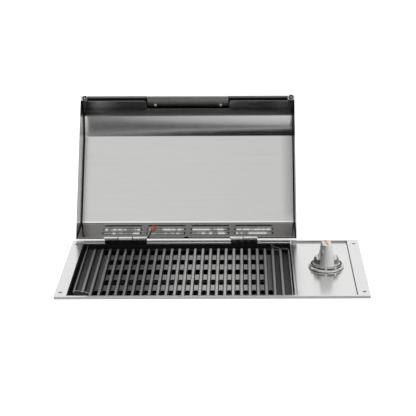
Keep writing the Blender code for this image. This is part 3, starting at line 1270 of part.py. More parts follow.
def build_release_pin():
    """Draw-out pin of the left hinge, bent up at its right end into a capped arm."""
    start = LEFT_HINGE_X + PIN_TAIL
    end = LEFT_HINGE_X + sum(LEFT_KNUCKLES)
    corner = Vector((end + PIN_BEND_RADIUS / 2, 0.0, 0.0))
    arm = Vector((PIN_ARM_OUT, -PIN_ARM_FORWARD, -PIN_ARM_LIFT))
    before = corner - Vector((PIN_BEND_RADIUS / 2, 0.0, 0.0))
    after = corner + arm.normalized() * PIN_BEND_RADIUS / 2
    points = [Vector((start, 0.0, 0.0))]
    for i in range(PIN_BEND_STEPS + 1):
        k = i / PIN_BEND_STEPS
        points.append(before * (1 - k) ** 2 + corner * (2 * k * (1 - k)) + after * k * k)
    points.append(corner + arm)
    pin = tube("release_pin", points, PIN_RADIUS, 2)
    sub_part(pin, LID_PIVOT, POLISHED_STEEL, smooth=True)
    tip = CAP_LENGTH - CAP_GRIP
    profile = [(0.0, tip), (CAP_RADIUS - CAP_ROUNDING, tip), (CAP_RADIUS, tip - CAP_ROUNDING),
               (CAP_RADIUS, -CAP_GRIP + CAP_ROUNDING / 2),
               (CAP_RADIUS - CAP_ROUNDING / 2, -CAP_GRIP), (0.0, -CAP_GRIP)]
    cap = turned("release_pin_cap", profile, ROUND_STEPS // 2)
    socket = round_bar("cap_socket_cut", (0, 0, -CAP_GRIP - OVERRUN), (0, 0, GAP), PIN_RADIUS + GAP,
                       steps=SMALL_ROUND_STEPS)
    place = (Matrix.Translation(corner + arm)
             @ Vector((0, 0, 1)).rotation_difference(arm).to_matrix().to_4x4())
    cap.data.transform(place)
    socket.data.transform(place)
    follow(LID_PIVOT, socket)
    sub_part(cut(cap, socket), LID_PIVOT, ORANGE_RED, smooth=True)


def build_screws():
    """Countersunk screws through the side strips into the worktop."""
    for name, (x, y) in screw_places().items():
        head = round_bar("fixing_screw_" + name, (x, y, RIM_HEIGHT - SCREW_HEAD_DEPTH),
                         (x, y, RIM_HEIGHT), SCREW_SHANK_RADIUS, SCREW_HEAD_RADIUS)
        shank = round_bar("screw_shank", (x, y, RIM_HEIGHT - SCREW_LENGTH),
                          (x, y, RIM_HEIGHT - SCREW_HEAD_DEPTH / 2), SCREW_SHANK_RADIUS)
        follow(GRILL, shank)
        sub_part(join(head, shank), GRILL, POLISHED_STEEL, smooth=True)


def gland_place():
    """X and Z of the cable entry in the casing's rear wall."""
    return CASING_X - GLAND_INSET, -CASING_DROP + GLAND_RISE


def build_wiring():
    """Cable gland and its nut, terminal block and the leads between the electrical pieces."""
    x, z = gland_place()
    outside = CASING_Y + GAP
    profile = [(GLAND_BORE, GLAND_LENGTH), (GLAND_RADIUS - GLAND_BORE / 2, GLAND_LENGTH),
               (GLAND_RADIUS, GLAND_LENGTH / 2), (GLAND_RADIUS, 0.0), (GLAND_THREAD_RADIUS, 0.0),
               (GLAND_THREAD_RADIUS, -GLAND_NECK), (GLAND_BORE, -GLAND_NECK)]
    gland = turned("cable_gland", profile, ROUND_STEPS // 2)
    place = Matrix.Translation((x, outside, z)) @ Matrix.Rotation(-math.pi / 2, 4, 'X')
    gland.data.transform(place)
    sub_part(gland, GRILL, BLACK_PLASTIC, smooth=True)
    nut_face = CASING_Y - CASING_SHEET - GAP
    nut = round_bar("gland_nut", (x, nut_face - GLAND_NUT_THICKNESS, z), (x, nut_face, z),
                    GLAND_RADIUS + GLAND_BORE / 2, steps=6)
    hole = round_bar("gland_nut_cut", (x, nut_face - GLAND_NUT_THICKNESS - OVERRUN, z),
                     (x, nut_face + OVERRUN, z), GLAND_THREAD_RADIUS + GAP)
    follow(GRILL, hole)
    sub_part(cut(nut, hole), GRILL, BLACK_PLASTIC)

    floor = -CASING_DROP + CASING_SHEET + GAP
    block_x = CASING_X - BLOCK_INSET
    block = rounded_box("terminal_block", (block_x, BLOCK_SETBACK - BLOCK_WIDTH / 2, floor),
                        (block_x + BLOCK_LENGTH, BLOCK_SETBACK + BLOCK_WIDTH / 2, floor + BLOCK_HEIGHT),
                        CORNER_RADIUS / 2)
    wells = []
    ways = [block_x + BLOCK_LENGTH * (i + 1) / (BLOCK_WAYS + 1) for i in range(BLOCK_WAYS)]
    for way in ways:
        wells.append(round_bar("block_well_cut", (way, BLOCK_SETBACK, floor + BLOCK_HEIGHT - BLOCK_WELL_DEPTH),
                               (way, BLOCK_SETBACK, floor + BLOCK_HEIGHT + OVERRUN),
                               BLOCK_WELL_RADIUS, steps=SMALL_ROUND_STEPS))
    follow(GRILL, *wells)
    sub_part(cut(block, *wells), GRILL, PALE_CERAMIC)

    rows = element_rows()
    level = GRATE_TOP - ELEMENT_DROP
    pin_end = WELL_RIGHT + TUB_SHEET + ELEMENT_TAIL + TERMINAL_PIN_LENGTH + GAP
    under = FLOOR_UNDER - GAP - REGULATOR_HEIGHT - GAP
    side = REGULATOR_WIDTH / 2 - BLOCK_WELL_RADIUS
    front = REGULATOR_DEPTH / 2 - BLOCK_WELL_RADIUS
    clear = LEAD_CLEARANCE
    block_front = BLOCK_SETBACK - BLOCK_WIDTH / 2 - GAP
    lead_level = floor + BLOCK_HEIGHT / 2
    routes = {
        "lead_live": (BROWN_WIRE, [(ways[0], block_front, lead_level),
                                   (ways[0], block_front - clear, lead_level),
                                   (KNOB_X - side, KNOB_Y + front, under - clear),
                                   (KNOB_X - side, KNOB_Y + front, under)]),
        "lead_neutral": (BLUE_WIRE, [(ways[1], block_front, lead_level),
                                     (ways[1], block_front - clear, lead_level),
                                     (pin_end + clear * 2, rows[0] - clear * 2, level - clear),
                                     (pin_end + clear, rows[0], level),
                                     (pin_end, rows[0], level)]),
        "lead_switched": (RED_WIRE, [(KNOB_X - side, KNOB_Y - front, under),
                                     (KNOB_X - side, KNOB_Y - front, under - clear),
                                     (pin_end + clear, rows[-1] + clear * 2, level - clear / 2),
                                     (pin_end + clear, rows[-1], level),
                                     (pin_end, rows[-1], level)]),
        "lead_earth": (GREEN_WIRE, [(ways[2], block_front, lead_level),
                                    (ways[2], block_front - clear, lead_level),
                                    (ways[2] + clear / 2, block_front - clear * 2,
                                     floor + LEAD_RADIUS * 2),
                                    (ways[2] + clear / 2, block_front - clear * 3,
                                     floor + LEAD_RADIUS)]),
    }
    for name, (finish, route) in routes.items():
        lead = tube(name, smooth_route(route, LEAD_STEPS), LEAD_RADIUS, 2)
        sub_part(lead, GRILL, finish, smooth=True)


clear_scene()
PARTS = make_collection("built_in_electric_grill")
CUTTERS = make_collection("cutters")
GRILL = make_empty("grill_middle", None, (0.0, FLANGE_MIDDLE_Y, 0.0))
LID_PIVOT = make_empty("lid_pivot", GRILL, (0.0, HINGE_Y, HINGE_Z), -LID_OPEN_ANGLE)

build_fascia()
build_casing()
build_tub()
build_grate()
build_element()
build_tray()
build_knob(build_regulator())
build_shell()
build_liner()
build_handle()
build_buffers()
build_hinges()
build_release_pin()
build_screws()
build_wiring()
bpy.context.view_layer.update()
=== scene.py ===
"""Studio picture of a built-in electric grill with its hood laid open.

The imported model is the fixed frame. Every sub-assembly below dresses its own nodes. Sheet, turned
and bent pieces are the node's own merged mesh with their edges eased, and the pieces that catch
the eye are modelled anew in the room of the nodes they stand for.
"""
import logging
import math
from dataclasses import dataclass, field
from enum import Enum
from functools import cached_property

import bmesh
import bpy
from mathutils import Matrix, Vector


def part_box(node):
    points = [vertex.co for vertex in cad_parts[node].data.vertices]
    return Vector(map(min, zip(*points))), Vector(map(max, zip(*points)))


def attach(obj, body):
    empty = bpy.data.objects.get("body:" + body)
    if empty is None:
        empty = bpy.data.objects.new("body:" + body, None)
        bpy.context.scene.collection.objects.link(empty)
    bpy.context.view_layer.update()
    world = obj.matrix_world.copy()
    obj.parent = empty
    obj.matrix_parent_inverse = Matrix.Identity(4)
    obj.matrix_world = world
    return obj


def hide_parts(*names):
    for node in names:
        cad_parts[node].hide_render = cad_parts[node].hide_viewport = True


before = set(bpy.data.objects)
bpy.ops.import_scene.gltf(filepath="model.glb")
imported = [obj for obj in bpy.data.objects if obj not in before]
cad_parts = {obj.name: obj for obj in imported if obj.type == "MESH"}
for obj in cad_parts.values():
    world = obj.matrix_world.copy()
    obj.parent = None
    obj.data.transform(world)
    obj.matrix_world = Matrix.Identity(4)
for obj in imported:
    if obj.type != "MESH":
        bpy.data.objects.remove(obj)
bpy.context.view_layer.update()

LOG = logging.getLogger("grill")
Mesh = bmesh.types.BMesh
Node = bpy.types.Node
Socket = bpy.types.NodeSocket
Value = float | Socket
Pair = tuple[float, float]
Point = tuple[float, float, float]
Colour = tuple[float, float, float]
FAR = 1.0
EVERYWHERE = (-FAR, FAR)
MERGE = 0.000005
CUT_TOLERANCE = 0.0000001
BEVEL_STEPS = 2
FLAT_ANGLE = math.radians(0.6)
EDGE_ANGLE = math.radians(28)
SMOOTH_ANGLE = math.radians(38)
NOISE = ("TexNoise", "Fac")
CELLS = ("TexVoronoi", "Distance")


def grey(level: float) -> Colour:
    """Returns a neutral colour."""
    return (level, level, level)


class Tree:
    """Adds and links the nodes of one material, world or group."""

    def __init__(self, tree: bpy.types.NodeTree) -> None:
        """Wraps a node tree."""
        self.nodes, self.links = tree.nodes, tree.links

    def feed(self, node: Node, inputs: dict) -> None:
        """Gives a node's inputs their values or links them.

        Args:
            node: The node.
            inputs: Input names or numbers, each with a value or the socket that feeds it.
        """
        for key, value in inputs.items():
            if isinstance(value, Socket):
                self.links.new(value, node.inputs[key])
            else:
                node.inputs[key].default_value = value

    def add(self, kind: str, inputs: dict | None = None, **settings: object) -> Node:
        """Adds one node.

        Args:
            kind: Blender's name of the node's type, after "ShaderNode".
            inputs: Input names or numbers, each with a value or the socket that feeds it.
            settings: Properties of the node itself.

        Returns:
            The new node.
        """
        node = self.nodes.new("ShaderNode" + kind)
        for key, value in settings.items():
            setattr(node, key, value)
        self.feed(node, inputs or {})
        return node

    def math(self, operation: str, first: Value, *others: Value) -> Socket:
        """Joins values by Math nodes, one after another.

        Args:
            operation: The nodes' operation.
            first: The first value.
            others: The values that follow; an operation on one value takes none.

        Returns:
            The result.
        """
        for other in others or (0.0,):
            first = self.add("Math", {0: first, 1: other}, operation=operation).outputs[0]
        return first

    def times(self, *values: Value) -> Socket:
        """Multiplies values."""
        return self.math("MULTIPLY", *values)

    def plus(self, *values: Value) -> Socket:
        """Adds values."""
        return self.math("ADD", *values)

    def less(self, first: Value, second: Value) -> Socket:
        """Subtracts the second value from the first."""
        return self.math("SUBTRACT", first, second)

    def most(self, *values: Value) -> Socket:
        """Returns the greatest value."""
        return self.math("MAXIMUM", *values)

    def least(self, *values: Value) -> Socket:
        """Returns the smallest value."""
        return self.math("MINIMUM", *values)

    def length(self, wide: Socket, deep: Socket) -> Socket:
        """Returns the length of a level way from its two parts."""
        return self.math("SQRT", self.plus(self.times(wide, wide), self.times(deep, deep)))

    def aside(self, across: Socket, first: float, pitch: float) -> Socket:
        """Returns the distance to the nearest of a row of places with one pitch."""
        return self.math("PINGPONG", self.less(across, first), pitch / 2)

    def spread(self, value: Socket, low: float, high: float,
               start: float = 0.0, end: float = 1.0) -> Socket:
        """Maps a value from one range to another, held inside it.

        Args:
            value: Socket to map.
            low: Result at the start.
            high: Result at the end.
            start: Value that gives the low result.
            end: Value that gives the high result.

        Returns:
            The mapped socket.
        """
        return self.add("MapRange", {"Value": value, "From Min": start, "From Max": end,
                                     "To Min": low, "To Max": high}).outputs[0]

    def rise(self, value: Socket, start: float, end: float) -> Socket:
        """Maps a value to 0 up to the start and to 1 from the end on."""
        return self.spread(value, 0.0, 1.0, start, end)

    def fall(self, value: Socket, start: float, end: float) -> Socket:
        """Maps a value to 1 up to the start and to 0 from the end on."""
        return self.spread(value, 1.0, 0.0, start, end)

    def axes(self, place: Socket) -> tuple[Socket, ...]:
        """Splits a place into its X, Y and Z."""
        return tuple(self.add("SeparateXYZ", {0: place}).outputs)

    def blend(self, share: Value, first: Colour | Socket, second: Colour | Socket) -> Socket:
        """Mixes two colours.

        Args:
            share: Share of the second colour.
            first: The first colour or its socket.
            second: The second colour or its socket.

        Returns:
            The mixed colour.
        """
        inputs = {0: share}
        for place, value in ((6, first), (7, second)):
            inputs[place] = value if isinstance(value, Socket) else (*value, 1.0)
        return self.add("Mix", inputs, data_type="RGBA").outputs[2]


class Grain(Enum):
    """Way a surface was brushed, as the stretch of its pattern along X, Y and Z."""

    ALONG_X = (0.03, 1.0, 1.0)
    ALONG_Z = (1.0, 1.0, 0.03)
    EVEN = (1.0, 1.0, 1.0)


class Effect(Enum):
    """Effects that several finishes share, each a node group with two outputs.

    Every output has its texture, the texture's scale as a multiple of the effect's, its other
    inputs, and the range and turning points to which the result is spread.
    """

    BRUSHING = {"Streak": (NOISE, 1.0, {"Detail": 3.0, "Roughness": 0.6}, (0.0, 1.0, 0.3, 0.7)),
                "Band": (NOISE, 0.12, {"Detail": 2.0}, (0.0, 1.0, 0.3, 0.7))}
    # Also the pattern of the louvres' painted reflection patches.
    HANDLING = {"Cloud": (NOISE, 1.0, {"Detail": 3.0, "Roughness": 0.55, "Distortion": 0.4},
                          (0.0, 1.0, 0.32, 0.68)),
                "Smear": (NOISE, 3.7, {"Detail": 5.0, "Roughness": 0.7, "Distortion": 1.2},
                          (0.0, 1.0, 0.45, 0.75))}
    CAST_SKIN = {"Height": (NOISE, 1.0, {"Detail": 4.0, "Roughness": 0.6}, (0.0, 1.0)),
                 "Fleck": (CELLS, 1.7, {}, (1.0, 0.0, 0.05, 0.35))}
    # Also breaks up the painted shade on the liner's ends and on the hinge leaves.
    SOOT = {"SootAndShade": (NOISE, 1.0, {"Detail": 6.0, "Roughness": 0.65, "Distortion": 0.8},
                     (0.0, 1.0, 0.4, 0.7)),
            "Spot": (CELLS, 6.0, {}, (1.0, 0.0, 0.02, 0.16))}

    def tree(self) -> bpy.types.NodeTree:
        """Returns the effect's node group, made on first use."""
        name = self.name.lower().replace("_", " ")
        made = bpy.data.node_groups.get(name)
        if made is None:
            made = bpy.data.node_groups.new(name, "ShaderNodeTree")
            made.interface.new_socket("Vector", in_out="INPUT", socket_type="NodeSocketVector")
            made.interface.new_socket("Scale", in_out="INPUT", socket_type="NodeSocketFloat")
            for output in self.value:
                made.interface.new_socket(output, in_out="OUTPUT", socket_type="NodeSocketFloat")
            tree = Tree(made)
            given = made.nodes.new("NodeGroupInput").outputs
            out = made.nodes.new("NodeGroupOutput")
            for output, ((kind, result), scale, inputs, span) in self.value.items():
                texture = tree.add(kind, {"Vector": given["Vector"],
                                          "Scale": tree.times(given["Scale"], scale), **inputs})
                tree.feed(out, {output: tree.spread(texture.outputs[result], *span)})
        return made


class MaterialTree(Tree):
    """A new material and its nodes, which feed its Principled BSDF."""

    def __init__(self, name: str) -> None:
        """Makes the material.

        Args:
            name: Its name.
        """
        self.material = bpy.data.materials.new(name)
        self.material.use_nodes = True
        super().__init__(self.material.node_tree)
        self.shader = self.nodes["Principled BSDF"]

    @cached_property
    def place(self) -> Socket:
        """Object coordinates, in metres."""
        return self.add("TexCoord").outputs["Object"]

    def shade(self, inputs: dict) -> None:
        """Gives the shader's inputs their values or links them."""
        self.feed(self.shader, inputs)

    def lay(self, colour: Socket, rough: Socket, metallic: float,
            relief: tuple[Socket, float, float]) -> None:
        """Gives the shader what most finishes have.

        Args:
            colour: Its colour.
            rough: Its roughness.
            metallic: How metallic it is.
            relief: Height of its skin, with the bump's distance in metres and its strength.
        """
        bump = self.add("Bump", dict(zip(("Height", "Distance", "Strength"), relief)))
        self.shade({"Base Color": colour, "Roughness": rough, "Metallic": metallic,
                    "Normal": bump.outputs["Normal"]})

    def cover(self, share: Value, shade: Colour) -> None:
        """Lays a share of a shade over the shader's colour."""
        clean = self.shader.inputs["Base Color"].links[0].from_socket
        self.shade({"Base Color": self.blend(share, clean, shade)})

    def effect(self, effect: Effect, scale: float,
               place: Socket | None = None) -> bpy.types.bpy_prop_collection:
        """Places a shared effect.

        Args:
            effect: The effect.
            scale: Its scale, in patterns per metre.
            place: Where its pattern is looked up, if not at the object coordinates.

        Returns:
            Its outputs, by name.
        """
        inputs = {"Vector": self.place if place is None else place, "Scale": scale}
        return self.add("Group", inputs, node_tree=effect.tree()).outputs


@dataclass(frozen=True)
class Zone:
    """A box of a surface that has another shade, open where no ends are given.

    Attributes:
        shade: Colour inside it.
        x: Its two ends along X, in metres.
        y: Its two ends along Y.
        z: Its two ends along Z.
        soft: Width of its soft border.
    """

    shade: Colour
    x: Pair = EVERYWHERE
    y: Pair = EVERYWHERE
    z: Pair = EVERYWHERE
    soft: float = 0.0003

    def share(self, tree: MaterialTree) -> Socket:
        """Works out how far a point lies in the zone.

        Args:
            tree: The material's tree.

        Returns:
            The share, from 0 to 1.
        """
        sides = []
        for at, (start, end) in zip(tree.axes(tree.place), (self.x, self.y, self.z)):
            sides += [tree.rise(at, start - self.soft, start), tree.fall(at, end, end + self.soft)]
        return tree.times(*sides)


@dataclass(frozen=True)
class Finish:
    """What every finish has.

    Attributes:
        name: Name of its material.
        colour: Its clean colour.
        roughness: Its least roughness.
        zones: Its zones of another shade.
    """

    name: str
    colour: Colour
    roughness: float
    zones: tuple[Zone, ...] = field(default=(), kw_only=True)

    def material(self) -> bpy.types.Material:
        """Returns the finish's material, made on first use."""
        made = bpy.data.materials.get(self.name)
        if made is None:
            tree = MaterialTree(self.name)
            made = tree.material
            made.diffuse_color = (*self.colour, 1.0)
            self.wire(tree)
            for zone in self.zones:
                tree.cover(zone.share(tree), zone.shade)
        return made

    def wire(self, tree: MaterialTree) -> None:
        """Adds the finish's own nodes to a material's tree."""
        raise NotImplementedError

    def tint(self, factor: float) -> Colour:
        """Returns the colour made lighter or darker by a factor."""
        return tuple(min(1.0, part * factor) for part in self.colour)


@dataclass(frozen=True)
class BrushedSheet(Finish):
    """Stainless sheet with a brushed grain, soft bands and the haze of wiping.

    Attributes:
        grain: Way the brush went.
        density: Streaks across the grain, per metre.
        contrast: How far light and dark streaks part.
        haze: How far handling changes the roughness.
        uneven: How far the streaks change the roughness either way.
        wiped: Size of the clouds of handling, in metres.
    """

    grain: Grain = Grain.ALONG_X
    density: float = 900.0
    contrast: float = 0.025
    haze: float = 0.03
    uneven: float = 0.02
    wiped: float = 0.07

    def wire(self, tree: MaterialTree) -> None:
        """Adds streaks to the colour, the roughness and the height.

        Args:
            tree: The material's tree.
        """
        along = tree.add("Mapping", {"Vector": tree.place, "Scale": self.grain.value})
        brushing = tree.effect(Effect.BRUSHING, self.density, along.outputs[0])
        cloud = tree.effect(Effect.HANDLING, 1 / self.wiped)["Cloud"]
        mixed = tree.plus(tree.times(brushing["Streak"], 0.6), tree.times(brushing["Band"], 0.4))
        colour = tree.blend(mixed, self.tint(1.0 - self.contrast), self.tint(1.0 + self.contrast))
        rough = tree.plus(tree.spread(mixed, self.roughness - self.uneven, self.roughness + self.uneven),
                          tree.times(cloud, self.haze))
        tree.lay(colour, rough, 1.0, (brushing["Streak"], 0.00002, 0.12))


@dataclass(frozen=True)
class ShadedEndsSheet(BrushedSheet):
    """Brushed sheet with painted shade at the two ends of its height, broken up by a noise.

    Attributes:
        shadowed: Colour of the painted shade at the ends.
        low: Heights between which the painted shade fades out upwards, in metres.
        high: Heights between which it comes in again.
    """

    dulled: Colour = (0.4, 0.39, 0.375)
    low: Pair = (0.0118, 0.0138)
    high: Pair = (0.1965, 0.2025)

    def wire(self, tree: MaterialTree) -> None:
        """Adds the painted shade at the ends over the brushed sheet.

        Args:
            tree: The material's tree.
        """
        super().wire(tree)
        soot_and_shade = tree.effect(Effect.SOOT, 1 / 0.04)["SootAndShade"]
        height = tree.axes(tree.place)[2]
        ends = tree.most(tree.fall(height, *self.low), tree.rise(height, *self.high))
        # Painted shade at the low and the high end, 85 to 100 percent by the noise.
        tree.cover(tree.times(ends, tree.spread(soot_and_shade, 0.85, 1.0)), self.dulled)


@dataclass(frozen=True)
class PolishedMetal(Finish):
    """Polished or plated metal with faint hairlines and a little haze."""

    def wire(self, tree: MaterialTree) -> None:
        """Adds hairlines and haze to the roughness and a trace of haze to the colour.

        Args:
            tree: The material's tree.
        """
        handling = tree.effect(Effect.HANDLING, 1 / 0.012)
        hairlines = tree.effect(Effect.BRUSHING, 2600.0)["Streak"]
        colour = tree.blend(handling["Cloud"], self.tint(0.94), self.tint(1.04))
        rough = tree.plus(self.roughness, tree.times(handling["Smear"], 0.08))
        tree.lay(colour, rough, 1.0, (hairlines, 0.00001, 0.2))


@dataclass(frozen=True)
class HingeMetal(PolishedMetal):
    """Polished hinge barrels with painted shade on the leaf in front of them.

    Attributes:
        dark: Colour of the leaf's painted shade.
        leaf: Y where the leaf's painted shade starts to fade and where the barrel is free of it, in
            metres.
    """

    dark: Colour = (0.06, 0.06, 0.062)
    leaf: Pair = (0.2880, 0.2884)

    def wire(self, tree: MaterialTree) -> None:
        """Adds the leaf's painted shade to the polished metal.

        Args:
            tree: The material's tree.
        """
        super().wire(tree)
        soot_and_shade = tree.effect(Effect.SOOT, 1 / 0.012)["SootAndShade"]
        leaf = tree.fall(tree.axes(tree.place)[1], *self.leaf)
        # Painted shade over the leaf, broken up by the noise.
        tree.cover(tree.times(leaf, tree.spread(soot_and_shade, 0.9, 1.0)), self.dark)


@dataclass(frozen=True)
class PatchyReflectionMetal(PolishedMetal):
    """Polished metal with painted dark reflection patches along X and painted shade at each piece's
    ends.

    Attributes:
        patch: Length of a light or dark patch of the painted reflection, in metres.
        pieces: X of the first piece's middle and the distance from piece to piece.
        ends: Distances from a piece's middle between which the painted shade at its ends starts.
    """

    patch: float = 0.017
    pieces: Pair = (-0.1768, 0.0830)
    ends: Pair = (0.0325, 0.0350)

    def wire(self, tree: MaterialTree) -> None:
        """Adds the painted reflection patches and the painted shade at the ends to the polished metal.

        Args:
            tree: The material's tree.
        """
        super().wire(tree)
        along = tree.add("Mapping", {"Vector": tree.place, "Scale": (1.0, 0.3, 0.3)})
        cloud = tree.effect(Effect.HANDLING, 1 / self.patch, along.outputs[0])["Cloud"]
        # Painted reflection: dark patches along X.
        tree.cover(tree.fall(cloud, 0.3, 0.6), self.tint(0.35))
        # Painted shade at both ends of each piece.
        aside = tree.aside(tree.axes(tree.place)[0], *self.pieces)
        tree.cover(tree.rise(aside, *self.ends), self.tint(0.03))


@dataclass(frozen=True)
class RingMetal(PolishedMetal):
    """Polished ring with near-black painted shade in its slots and on its inside.

    Attributes:
        middle: X and Y of the ring's axis, in metres.
        reach: Radii between which the painted shade fades out.
        height: Heights between which it fades out.
    """

    middle: Pair = (0.1995, 0.1486)
    reach: Pair = (0.0279, 0.0281)
    height: Pair = (0.0089, 0.0092)

    def wire(self, tree: MaterialTree) -> None:
        """Adds the painted shade inside to the polished metal.

        Args:
            tree: The material's tree.
        """
        super().wire(tree)
        wide, deep, height = tree.axes(tree.place)
        away = tree.length(tree.less(wide, self.middle[0]), tree.less(deep, self.middle[1]))
        share = tree.times(tree.fall(away, *self.reach), tree.fall(height, *self.height))
        # Painted shade, near black, inside the slotted wall.
        tree.cover(share, self.tint(0.012))


@dataclass(frozen=True)
class CoatedCasting(Finish):
    """Grate casting: coated, with a painted sheen in the middle and near-black painted shade at the
    rear.

    Attributes:
        crest: Painted highlight colours of a ridge's top, outside the sheen in the middle and in it.
        middle_sheen: Colour of the plate between the ridges in the painted sheen of the middle.
        dark_shade: Colour of the painted shade on the flanks, in the slots and at the rear.
        plate: Height of the plate's top, in metres.
        top: Heights between which a ridge's flank turns into its top.
        middle: X where the painted sheen starts, is full, stays full and ends.
        rear: Y where the painted shade at the rear starts and is full.
        crest_rear: Y where it starts and is full on the ridges beside the middle.
        ends: X between which the painted shade of the plate's left and right ends fades out.
        ridges: X of a ridge's middle and the distance from ridge to ridge.
        feet: Distances from a ridge's middle where the painted shade along its foot fades out.
        corners: The two corners of the grate that have a finger cut-out.
        finger: Half width and half depth of a cut-out.
        rim: Distances from a corner between which a cut-out's painted light rim fades, in its sizes.
        corner_shade: Distances from the rear corner between which the painted shade there fades.
    """

    crest: tuple[Colour, Colour] = ((0.34, 0.34, 0.34), (0.86, 0.86, 0.85))
    middle_sheen: Colour = (0.74, 0.74, 0.73)
    dark_shade: Colour = (0.012, 0.012, 0.014)
    plate: float = -0.0052
    top: Pair = (-0.0026, -0.0001)
    middle: tuple[float, float, float, float] = (-0.125, -0.045, 0.035, 0.100)
    rear: Pair = (0.231, 0.238)
    crest_rear: Pair = (0.236, 0.262)
    ends: tuple[float, float, float, float] = (-0.215, -0.185, 0.092, 0.108)
    ridges: Pair = (-0.05045, 0.01425)
    feet: Pair = (0.0036, 0.0044)
    corners: tuple[Pair, Pair] = ((-0.2378, 0.0095), (0.1369, 0.2782))
    finger: Pair = (0.031, 0.024)
    rim: Pair = (1.07, 1.09)
    corner_shade: Pair = (1.7, 2.0)

    def from_corner(self, tree: MaterialTree, split: tuple[Socket, ...], corner: Pair) -> Socket:
        """Returns how far a point lies from a corner, in sizes of the finger cut-out."""
        return tree.length(*(tree.math("DIVIDE", tree.less(part, at), size)
                             for part, at, size in zip(split, corner, self.finger)))

    def wire(self, tree: MaterialTree) -> None:
        """Adds the cast skin, a sooty random tone, the painted sheen, the painted shade and the painted
        light rims.

        Args:
            tree: The material's tree.
        """
        skin = tree.effect(Effect.CAST_SKIN, 1 / 0.0011)
        soot_and_shade = tree.effect(Effect.SOOT, 1 / 0.05)["SootAndShade"]
        split = tree.axes(tree.place)
        across, along, height = split
        arcs = [self.from_corner(tree, split, corner) for corner in self.corners]
        # Painted sheen across the middle of the grate.
        sheen_share = tree.least(tree.rise(across, *self.middle[:2]),
                          tree.spread(across, 1.0, 0.15, *self.middle[2:]))
        # Painted shade towards the plate's left and right ends.
        ends = tree.most(tree.fall(across, *self.ends[:2]), tree.rise(across, *self.ends[2:]))
        body = tree.blend(tree.times(soot_and_shade, 0.4), self.colour, self.tint(0.7))
        floor = tree.blend(ends, tree.blend(sheen_share, body, self.middle_sheen), self.tint(0.25))
        # Painted shade on the flanks, in the slots, at the rear and along the ridges' feet.
        flank = tree.times(tree.rise(height, self.plate + 0.0002, self.plate + 0.0009),
                           tree.spread(ends, 1.0, 0.35))
        hole = tree.fall(height, self.plate - 0.0007, self.plate - 0.0003)
        rear = tree.most(tree.rise(along, *self.rear), tree.fall(arcs[1], *self.corner_shade))
        foot = tree.times(tree.fall(height, self.plate, self.plate + 0.0002),
                          tree.spread(tree.aside(across, *self.ridges), 0.85, 0.0, *self.feet))
        lower = tree.blend(tree.most(flank, foot, hole, rear), floor, self.dark_shade)
        # Painted highlight on the rims and the ridges' tops, fading into painted shade at the rear
        # beside the middle.
        rims = tree.least(tree.fall(tree.least(*arcs), *self.rim),
                          tree.rise(height, self.plate - 0.0006, self.plate))
        beside = tree.less(1.0, tree.rise(sheen_share, 0.0, 0.6))
        crest = tree.blend(tree.times(beside, tree.rise(along, *self.crest_rear)),
                           tree.blend(sheen_share, *self.crest), self.dark_shade)
        top = tree.times(tree.rise(height, *self.top), tree.spread(skin["Height"], 0.8, 1.0, 0.35, 0.6))
        colour = tree.blend(top, tree.blend(rims, lower, self.crest[0]), crest)
        rough = tree.plus(tree.spread(top, self.roughness, self.roughness - 0.06),
                          tree.times(skin["Fleck"], 0.06))
        tree.lay(colour, rough, 0.85, (skin["Height"], 0.00015, 0.35))


@dataclass(frozen=True)
class Enamel(Finish):
    """Vitreous enamel with an orange-peel skin and dried drips of fat.

    Attributes:
        gloss: Strength of its reflection.
    """

    gloss: float = 0.1

    def wire(self, tree: MaterialTree) -> None:
        """Adds the wavy skin, the spatter and its duller gloss.

        Args:
            tree: The material's tree.
        """
        soot_and_shade = tree.effect(Effect.SOOT, 1 / 0.02)
        wave = tree.add("TexNoise", {"Vector": tree.place, "Scale": 420.0, "Detail": 2.0})
        colour = tree.blend(tree.times(soot_and_shade["Spot"], 0.6), self.colour, self.tint(4.0))
        rough = tree.plus(self.roughness, tree.times(soot_and_shade["SootAndShade"], 0.25))
        tree.lay(colour, rough, 0.0, (wave.outputs["Fac"], 0.0001, 0.3))
        tree.shade({"Specular IOR Level": self.gloss})


@dataclass(frozen=True)
class Moulding(Finish):
    """Rubber, plastic or ceramic with a fine moulded skin.

    Attributes:
        pebble: Size of the skin's grain, in metres.
        relief: Strength of its bump.
        coat: Weight of a glaze over it.
        gloss: Strength of its reflection.
    """

    pebble: float = 0.0006
    relief: float = 0.25
    coat: float = 0.0
    gloss: float = field(default=0.5, kw_only=True)

    def wire(self, tree: MaterialTree) -> None:
        """Adds the moulded skin and a faint cloud of dust.

        Args:
            tree: The material's tree.
        """
        skin = tree.effect(Effect.CAST_SKIN, 1 / self.pebble)["Height"]
        handling = tree.effect(Effect.HANDLING, 1 / 0.01)
        colour = tree.blend(handling["Cloud"], self.tint(0.9), self.tint(1.12))
        rough = tree.plus(self.roughness, tree.times(handling["Smear"], 0.1))
        tree.lay(colour, rough, 0.0, (skin, 0.00005, self.relief))
        tree.shade({"Specular IOR Level": self.gloss, "Coat Weight": self.coat})


